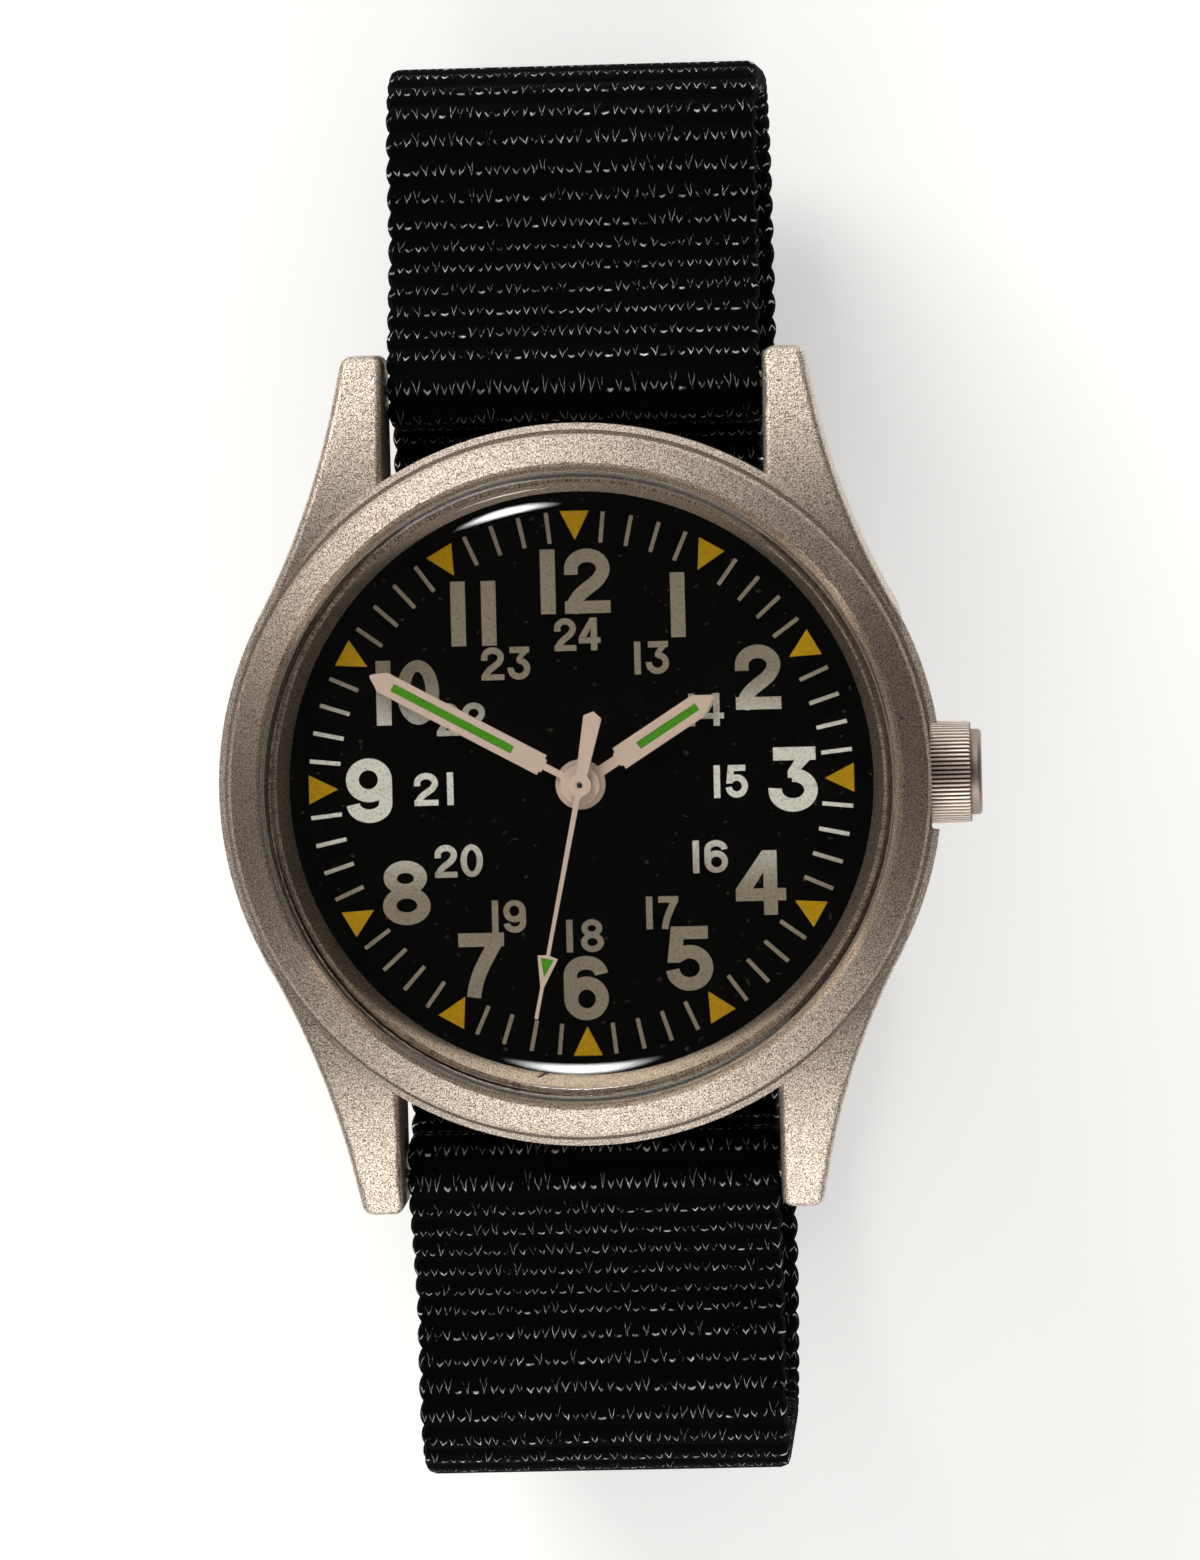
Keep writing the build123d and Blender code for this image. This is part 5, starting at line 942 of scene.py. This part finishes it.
class FIELDWATCH_OT_dial(bpy.types.Operator):
    """Lacquer the dial and print its numbers, minute strokes and triangles"""

    bl_idname = "fieldwatch.dial"
    bl_label = "Dial"

    def execute(self, context):
        settings = context.scene.field_watch_dial
        dress("dial", dial_lacquer(settings))
        ink = dial_ink(settings)
        low, high = DIAL_TOP, DIAL_TOP + settings.ink_thickness
        for name, labels, height, share in (
            ("hour_numbers", HOUR_LABELS, settings.hour_height, HOUR_STROKE_SHARE),
            ("day_numbers", DAY_LABELS, settings.small_height, DAY_STROKE_SHARE),
        ):
            shape = bmesh.new()
            for label in labels:
                united(shape, label_pieces(label, height / MM, share), low, high)
            bmesh.ops.recalc_face_normals(shape, faces=shape.faces)
            settle(from_bmesh(name, shape, ink), "case", "dial_lacquer")
        tree = marks_tree()
        half = settings.tick_width / 2
        inner, outer = settings.tick_inner, settings.tick_outer
        tick = [(-half, inner), (half, inner), (half, outer), (-half, outer)]
        wide = settings.triangle_width / 2
        triangle = [(0, inner + TRIANGLE_GAP), (wide, outer), (-wide, outer)]
        yellow = pigment("yellow_lume_paint", settings.triangle, 0.6, 0.2, 0.01, 0.82)
        hour_step = settings.minutes // settings.hours
        for name, outline, only_hours, material in (
            ("minute_strokes", tick, False, ink),
            ("hour_triangles", triangle, True, yellow),
        ):
            shape = bmesh.new()
            flat = [(x / MM, y / MM) for x, y in outline]
            prism(shape, flat, low / MM, high / MM)
            bmesh.ops.recalc_face_normals(shape, faces=shape.faces)
            mark = from_bmesh(f"{name}_mark", shape, material)
            values = {
                "Places": settings.minutes, "Hour step": hour_step, "Only hours": only_hours,
                "Material": material,
            }
            ring_of_marks = from_mesh(name, grown(mark, tree, values), material)
            settle(ring_of_marks, "case", "dial_lacquer")
        return {"FINISHED"}


class FIELDWATCH_OT_hands(bpy.types.Operator):
    """Paint the three hands and fill them with luminous paint"""

    bl_idname = "fieldwatch.hands"
    bl_label = "Hands"

    def execute(self, context):
        settings = context.scene.field_watch_hands
        paint = pigment("satin_hand_paint", settings.paint, 0.42, 0.12, 0.002, 0.94)
        lume = pigment("green_lume_paint", settings.lume, 0.7, 0.1, 0.012, 0.72)
        for body in ("hour", "minute", "second"):
            softened(f"{body}_hand", body, "hand_paint", paint, settings.edge)
            dress(f"{body}_hand_lume", lume)
        return {"FINISHED"}


class FIELDWATCH_OT_strap(bpy.types.Operator):
    """Weave the one-piece strap, with its holes and rounded tip"""

    bl_idname = "fieldwatch.strap"
    bl_label = "Strap"

    def execute(self, context):
        settings = context.scene.field_watch_strap
        points = [(0, p.x * MM, p.y * MM) for p in rounded_path(STRAP_STOPS)]
        size = (settings.width, settings.thickness)
        cloth = webbing(settings)
        band = woven("strap_webbing", points, False, settings, cloth, size, (1, 0, 0), 0.0)
        cutters = bmesh.new()
        oblong_cutter(cutters, *CROSSING, CROSSING_SLOPE)
        for k in OTHER_HOLES:
            y = CROSSING[0] + k * HOLE_PITCH_MM
            oblong_cutter(cutters, y, next(z for end, z in TAIL_HEIGHTS if y < end))
        prism(cutters, PRONG_SLOT, *PRONG_SLOT_LEVELS)
        prism(cutters, beyond_tip(), *TAIL_TIP_LEVELS)
        cut_away(band, cutters)
        settle(band, "case", "webbing", "strap")
        return {"FINISHED"}


def beyond_tip():
    """The outline, in millimetres, of what is cut off to round the tail's tip."""
    tip_y = TAIL_END_MM - TAIL_TIP_R_MM
    side, far, near = 12, TAIL_END_MM + 2, tip_y + 5
    arc = ellipse(0, tip_y, TAIL_TIP_R_MM, TAIL_TIP_R_MM, 25, 155, 24)
    return arc + [(-side, near), (-side, far), (side, far), (side, near)]


KEEPER_WALL_MM = 0.9
KEEPER_INSIDE_MM = 17.9
KEEPER_BEND_MM = 0.55
# node, body, and in millimetres its place along the strap and its top
KEEPERS = (("fixed_keeper", "case", 0.0, 5.7), ("sliding_keeper", "sliding_keeper", 12.0, 4.4))


def keeper_points(y, top):
    """The closed middle line of a keeper, in metres, for its place and its top in millimetres."""
    wall, half = KEEPER_WALL_MM / 2, KEEPER_INSIDE_MM / 2 + KEEPER_WALL_MM / 2
    corners = ((half, wall), (half, top - wall), (-half, top - wall), (-half, wall))
    path = rounded_path([(x, z, KEEPER_BEND_MM) for x, z in corners])
    return [(p.x * MM, y * MM, p.y * MM) for p in path]


class FIELDWATCH_OT_keepers(bpy.types.Operator):
    """Weave the two keepers"""

    bl_idname = "fieldwatch.keepers"
    bl_label = "Keepers"

    def execute(self, context):
        settings = context.scene.field_watch_strap
        cloth = webbing(settings, "woven_nylon_keeper")
        size = (settings.keeper_width, settings.keeper_thickness)
        for node, body, y, top in KEEPERS:
            points, name = keeper_points(y, top), f"{node}_webbing"
            loop = woven(name, points, True, settings, cloth, size, (0, 1, 0), y)
            settle(loop, body, "webbing", node)
        return {"FINISHED"}


FRAME_EDGE = 0.3 * MM
PRONG_EDGE = 0.12 * MM


class FIELDWATCH_OT_buckle(bpy.types.Operator):
    """Round and finish the buckle's frame, prong and pin"""

    bl_idname = "fieldwatch.buckle"
    bl_label = "Buckle"

    def execute(self, context):
        steel = turned_metal("satin_buckle_steel", "c9c4bc", 0.3, 0.18, 0.004)
        softened("buckle_frame", "buckle_frame", "buckle_steel", steel, FRAME_EDGE, segments=3)
        softened("buckle_prong", "buckle_prong", "buckle_steel", steel, PRONG_EDGE)
        dress("buckle_pin", steel)
        return {"FINISHED"}


SPRING_WIRE_R = 0.055 * MM
SPRING_TURNS = 14
TURN_STEPS = 16


def half_spring(end, side, way, tree, material):
    """Half of a bar's coil spring, from the bar's middle to a tip, which presses it shorter."""
    low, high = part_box(f"{end}_bar_spring")
    middle = (low + high) / 2
    radius = high.z - middle.z - SPRING_WIRE_R
    reach = high.x - SPRING_WIRE_R
    count = SPRING_TURNS * TURN_STEPS
    points = []
    for k in range(count + 1):
        turn, x = 2 * pi * k / TURN_STEPS, way * reach * k / count
        points.append((x, middle.y + radius * cos(turn), middle.z + radius * sin(turn)))
    name = f"{end}_bar_coil_{side}"
    values = {"Radius": SPRING_WIRE_R, "Material": material}
    coil = from_mesh(name, grown(path_object(f"{name}_path", points), tree, values), material)
    settle(coil, "case", "spring_steel", f"{end}_bar_spring")
    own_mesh(coil)


class FIELDWATCH_OT_bars(bpy.types.Operator):
    """Finish the spring bars and wind their springs"""

    bl_idname = "fieldwatch.bars"
    bl_label = "Spring bars"

    def execute(self, context):
        steel = turned_metal("drawn_bar_steel", "aaa7a2", 0.28)
        spring = turned_metal("spring_steel_wire", "8f8d8b", 0.35)
        tree = wire_tree()
        for end in ("upper", "lower"):
            dress(f"{end}_bar_tube", steel)
            for side, way in (("crown_side", 1), ("far_side", -1)):
                dress(f"{end}_bar_tip_{side}", steel)
                half_spring(end, side, way, tree, spring)
        return {"FINISHED"}


PLATES = ("main_plate", "barrel_bridge", "train_bridge", "balance_cock", "pallet_bridge")
BRASS_WHEELS = (
    "hour_wheel", "minute_wheel", "third_wheel", "second_wheel", "barrel", "balance",
    "movement_ring",
)
STEEL_WHEELS = (
    "seconds_wheel", "stem", "winding_pinion", "sliding_pinion", "cannon_pinion", "barrel_arbor",
    "ratchet_wheel", "crown_wheel", "click", "escape_wheel", "pallet_fork", "movement_screws",
    "setting_lever",
)


class FIELDWATCH_OT_movement(bpy.types.Operator):
    """Finish the movement's plates, wheels, springs and jewels"""

    bl_idname = "fieldwatch.movement"
    bl_label = "Movement"

    def execute(self, context):
        finishes = (
            (PLATES, turned_metal("grained_nickel_plate", "cdc7ba", 0.36, 0.3, 0.006)),
            (BRASS_WHEELS, turned_metal("gilt_brass", "c9a45c", 0.27)),
            (STEEL_WHEELS, turned_metal("polished_gear_steel", "c4c4c6", 0.2)),
            (("mainspring", "hairspring"), turned_metal("blued_spring_steel", "5b6680", 0.25)),
            (("jewels",), ruby()),
        )
        for nodes, material in finishes:
            for node in nodes:
                dress(node, material)
        return {"FINISHED"}


class FIELDWATCH_OT_stage(bpy.types.Operator):
    """Set the pale floor, the soft light and the camera"""

    bl_idname = "fieldwatch.stage"
    bl_label = "Studio"

    def execute(self, context):
        settings = context.scene.field_watch_stage
        floor_stage(settings)
        white_world()
        softboxes(settings)
        dark_cards()
        camera(settings)
        strip_lights(settings)
        context.scene.view_settings.view_transform = "Standard"
        return {"FINISHED"}


def hide(thing, *rays):
    """Hides an object from some kinds of rays."""
    for ray in rays:
        setattr(thing, f"visible_{ray}", False)


def flat_card(name, centre, across, up, material):
    """A flat card for the studio, from its middle and its two half sides."""
    shape = bmesh.new()
    a, b, c = Vector(across), Vector(up), Vector(centre)
    corners = ((-1, -1), (1, -1), (1, 1), (-1, 1))
    shape.faces.new([shape.verts.new(c + i * a + j * b) for i, j in corners])
    card = from_bmesh(name, shape, material)
    return card


# light that the paper floor adds by itself, as a share of white
FLOOR_LIFT = 0.3
FLOOR_GAP = 0.02 * MM


def floor_stage(settings):
    """A wide pale paper floor that takes the watch's shadow."""
    material, add, place = new_material("pale_paper_floor")
    base = tuple(settings.floor)
    fibre = add("TexNoise", sized(place, 4))
    tones = {"Factor": fibre, "A": shaded(base, 0.985), "B": base}
    surface = {
        "Base Color": add("Mix", tones, data_type="RGBA"), "Roughness": 0.9,
        "Emission Color": base, "Emission Strength": FLOOR_LIFT,
    }
    finished(material, add, surface)
    flat_card("floor", (0, 0, -FLOOR_GAP), (3, 0, 0), (0, 3, 0), material)


def white_world():
    """White where it is seen, in the camera, in metal and through glass, and soft as a light."""
    world = bpy.data.worlds.new("studio")
    world.use_nodes = True
    world.node_tree.nodes.clear()
    add = partial(add_node, world.node_tree)
    path = add("LightPath").outputs
    seen = path["Is Camera Ray"]
    for kind in ("Is Glossy Ray", "Is Transmission Ray"):
        seen = add("Math MAXIMUM", (seen, path[kind]))
    soft = add("Background", {"Color": (1, 0.985, 0.96, 1), "Strength": 0.5})
    white = add("Background", {"Color": (1, 1, 1, 1), "Strength": 1.0})
    add("OutputWorld", {"Surface": add("MixShader", (seen, soft, white))})
    bpy.context.scene.world = world


def softbox(name, place, target, width, height, power, spread=pi):
    """A rectangular lamp that points at a place; a small spread makes it a beam."""
    lamp = bpy.data.lights.new(name, "AREA")
    lamp.shape = "RECTANGLE"
    lamp.size, lamp.size_y = width, height
    lamp.energy = power
    lamp.color = (1.0, 0.975, 0.94)
    lamp.spread = spread
    thing = placed(name, lamp)
    thing.location = place
    aim = Vector(target) - Vector(place)
    thing.rotation_euler = aim.to_track_quat("-Z", "Y").to_euler()
    hide(thing, "camera")


# name, place, width and height, and share of the settings' power
SOFTBOXES = (
    ("softbox_twelve", (-0.27, 0.45, 0.46), (0.36, 0.3), 1.2),
    ("softbox_six", (0.0, -0.46, 0.42), (0.46, 0.3), 0.66),
)
# middle of the flange ring's slope: its radius and height
FLANGE_MIDDLE = (14.03 * MM, 39.48 * MM)
BEAM_RISE = radians(19)
BEAM_LENGTH = 60 * MM
BEAM_SIZE = (26 * MM, 1.5 * MM)
BEAM_SPREAD = radians(1.5)


def softboxes(settings):
    """A softbox beyond twelve and one beyond six, and two low beams that cross the dial and light
    the flange ring opposite, where a softbox can't shine straight on its steep slope."""
    for name, place, size, share in SOFTBOXES:
        softbox(name, place, (0, 0, DIAL_TOP), *size, settings.softbox_power * share)
    radius, height = FLANGE_MIDDLE
    run, climb = BEAM_LENGTH * cos(BEAM_RISE), BEAM_LENGTH * sin(BEAM_RISE)
    for name, way in (("beam_twelve", 1), ("beam_six", -1)):
        start, target = (0, way * (radius - run), height + climb), (0, way * radius, height)
        softbox(name, start, target, *BEAM_SIZE, settings.beam_power, BEAM_SPREAD)


DOME_R = 87 * MM
DOME_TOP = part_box("crystal")[1].z
STRIP_HEIGHT = 0.5
# name, and the highlight's radius, start, end and width, as strip_light takes them
STRIPS = (("strip_eleven", 13.38, -25, -1, 0.46), ("strip_six", 13.22, 163, 198, 0.6))


def mirrored(eye, x, y):
    """The place at the strips' height that the camera sees mirrored in the crystal's dome."""
    normal = Vector((x, y, sqrt(DOME_R**2 - x * x - y * y))) / DOME_R
    place = Vector((x, y, DOME_TOP - DOME_R + normal.z * DOME_R))
    view = (eye - place).normalized()
    ray = 2 * normal.dot(view) * normal - view
    return place + ray * ((STRIP_HEIGHT - place.z) / ray.z)


def strip_light(name, material, radius, start, end, width):
    """A curved strip light with soft ends and sides, given by the place, in millimetres and in
    degrees clockwise from twelve, and by the width of its highlight in the dome."""
    eye = bpy.context.scene.camera.matrix_world.translation
    columns, rows = 32, 8
    points, glow, faces = [], [], []
    for k in range(columns + 1):
        taper = sin(pi * k / columns)
        angle = radians(start + (end - start) * k / columns)
        for j in range(rows + 1):
            across = 2 * j / rows - 1
            r = (radius + across * width / 2 * taper**0.5) * MM
            points.append(mirrored(eye, r * sin(angle), r * cos(angle)))
            glow.append((1 - across * across) * taper)
    for k in range(columns):
        for j in range(rows):
            corner = k * (rows + 1) + j
            faces.append((corner, corner + 1, corner + rows + 2, corner + rows + 1))
    mesh = bpy.data.meshes.new(name)
    mesh.from_pydata(points, [], faces)
    mesh.attributes.new("glow", "FLOAT", "POINT").data.foreach_set("value", glow)
    strip = from_mesh(name, mesh, material)
    hide(strip, "camera", "diffuse", "transmission", "shadow")


def strip_lights(settings):
    """Two curved strips that only polished faces see: the highlights on the crystal's edge."""
    material, add, _ = new_material("strip_glow")
    glow = add("Attribute", attribute_name="glow").outputs["Fac"]
    sharp = add("Math POWER", (glow, 2.0))
    power = add("Math MULTIPLY", (sharp, settings.strip_glow))
    finished(material, add, add("Emission", {"Strength": power}))
    for name, *highlight in STRIPS:
        strip_light(name, material, *highlight)


# name, colour, middle and the two half sides
DARK_CARDS = (
    ("card_over", "0a0908", (0, 0, 0.62), (0.62, 0, 0), (0, 0.42, 0)),
    ("card_right", "3a1b10", (0.36, 0, 0.32), (0, 0.48, 0), (0, 0, 0.34)),
    ("card_left", "3a1b10", (-0.36, 0, 0.32), (0, 0.48, 0), (0, 0, 0.34)),
)


def dark_cards():
    """Cards that only reflections see: a black one over the dial, a brown one at each side."""
    for name, colour, centre, across, up in DARK_CARDS:
        material, add, _ = new_material(name)
        finished(material, add, {"Base Color": linear(colour), "Roughness": 1.0})
        hide(flat_card(name, centre, across, up, material), "camera", "diffuse", "shadow")


# the photograph's scale, and its middle's place from the dial's middle in pixels
PIXELS_PER_MM = 21.1
VIEW_OFFSET = (18.5, 3.2)


def camera(settings):
    """The photograph's camera: a long lens, nearly straight above the dial."""
    lens = bpy.data.cameras.new("photo_camera")
    lens.lens = settings.lens
    lens.sensor_width = 36.0
    lens.clip_end = 20.0
    thing = placed("photo_camera", lens)
    lean = Vector((sin(settings.tilt_right), sin(settings.tilt_up), 0))
    back = Vector((lean.x, lean.y, sqrt(1 - lean.length_squared)))
    right = Vector((cos(settings.roll), -sin(settings.roll), 0))
    right = (right - back * right.dot(back)).normalized()
    up = back.cross(right)
    aside, above = VIEW_OFFSET
    aim = Vector((0, 0, DIAL_TOP))
    aim += right * aside / PIXELS_PER_MM * MM + up * above / PIXELS_PER_MM * MM
    distance = settings.view_height * settings.lens / lens.sensor_width
    turn = Matrix((right, up, back)).transposed().to_4x4()
    thing.matrix_world = Matrix.Translation(aim + back * distance) @ turn
    bpy.context.scene.camera = thing


class FIELDWATCH_PT_panel(bpy.types.Panel):
    """Lists the watch's pieces in the sidebar"""

    bl_label = "Field watch"
    bl_space_type = "VIEW_3D"
    bl_region_type = "UI"
    bl_category = "Field Watch"

    def draw(self, context):
        for operator in OPERATORS:
            self.layout.operator(operator.bl_idname)
        for _, attribute in SETTINGS:
            group = getattr(context.scene, attribute)
            box = self.layout.box()
            for name in group.__annotations__:
                box.prop(group, name)


OPERATORS = (
    FIELDWATCH_OT_case, FIELDWATCH_OT_crystal, FIELDWATCH_OT_crown, FIELDWATCH_OT_dial,
    FIELDWATCH_OT_hands, FIELDWATCH_OT_strap, FIELDWATCH_OT_keepers, FIELDWATCH_OT_buckle,
    FIELDWATCH_OT_bars, FIELDWATCH_OT_movement, FIELDWATCH_OT_stage,
)
SETTINGS = (
    (FieldWatchMetal, "field_watch_metal"), (FieldWatchDial, "field_watch_dial"),
    (FieldWatchHands, "field_watch_hands"), (FieldWatchStrap, "field_watch_strap"),
    (FieldWatchStage, "field_watch_stage"),
)


def register():
    """Registers the settings, operators and panel."""
    for group, attribute in SETTINGS:
        bpy.utils.register_class(group)
        setattr(bpy.types.Scene, attribute, PointerProperty(type=group))
    for kind in OPERATORS + (FIELDWATCH_PT_panel,):
        bpy.utils.register_class(kind)


def unregister():
    """Removes what register added."""
    for kind in (FIELDWATCH_PT_panel,) + OPERATORS[::-1]:
        bpy.utils.unregister_class(kind)
    for group, attribute in SETTINGS[::-1]:
        delattr(bpy.types.Scene, attribute)
        bpy.utils.unregister_class(group)


def main():
    """Builds every piece and the stage in order."""
    register()
    for operator in OPERATORS:
        group, name = operator.bl_idname.split(".")
        getattr(getattr(bpy.ops, group), name)()


if __name__ == "__main__":
    main()
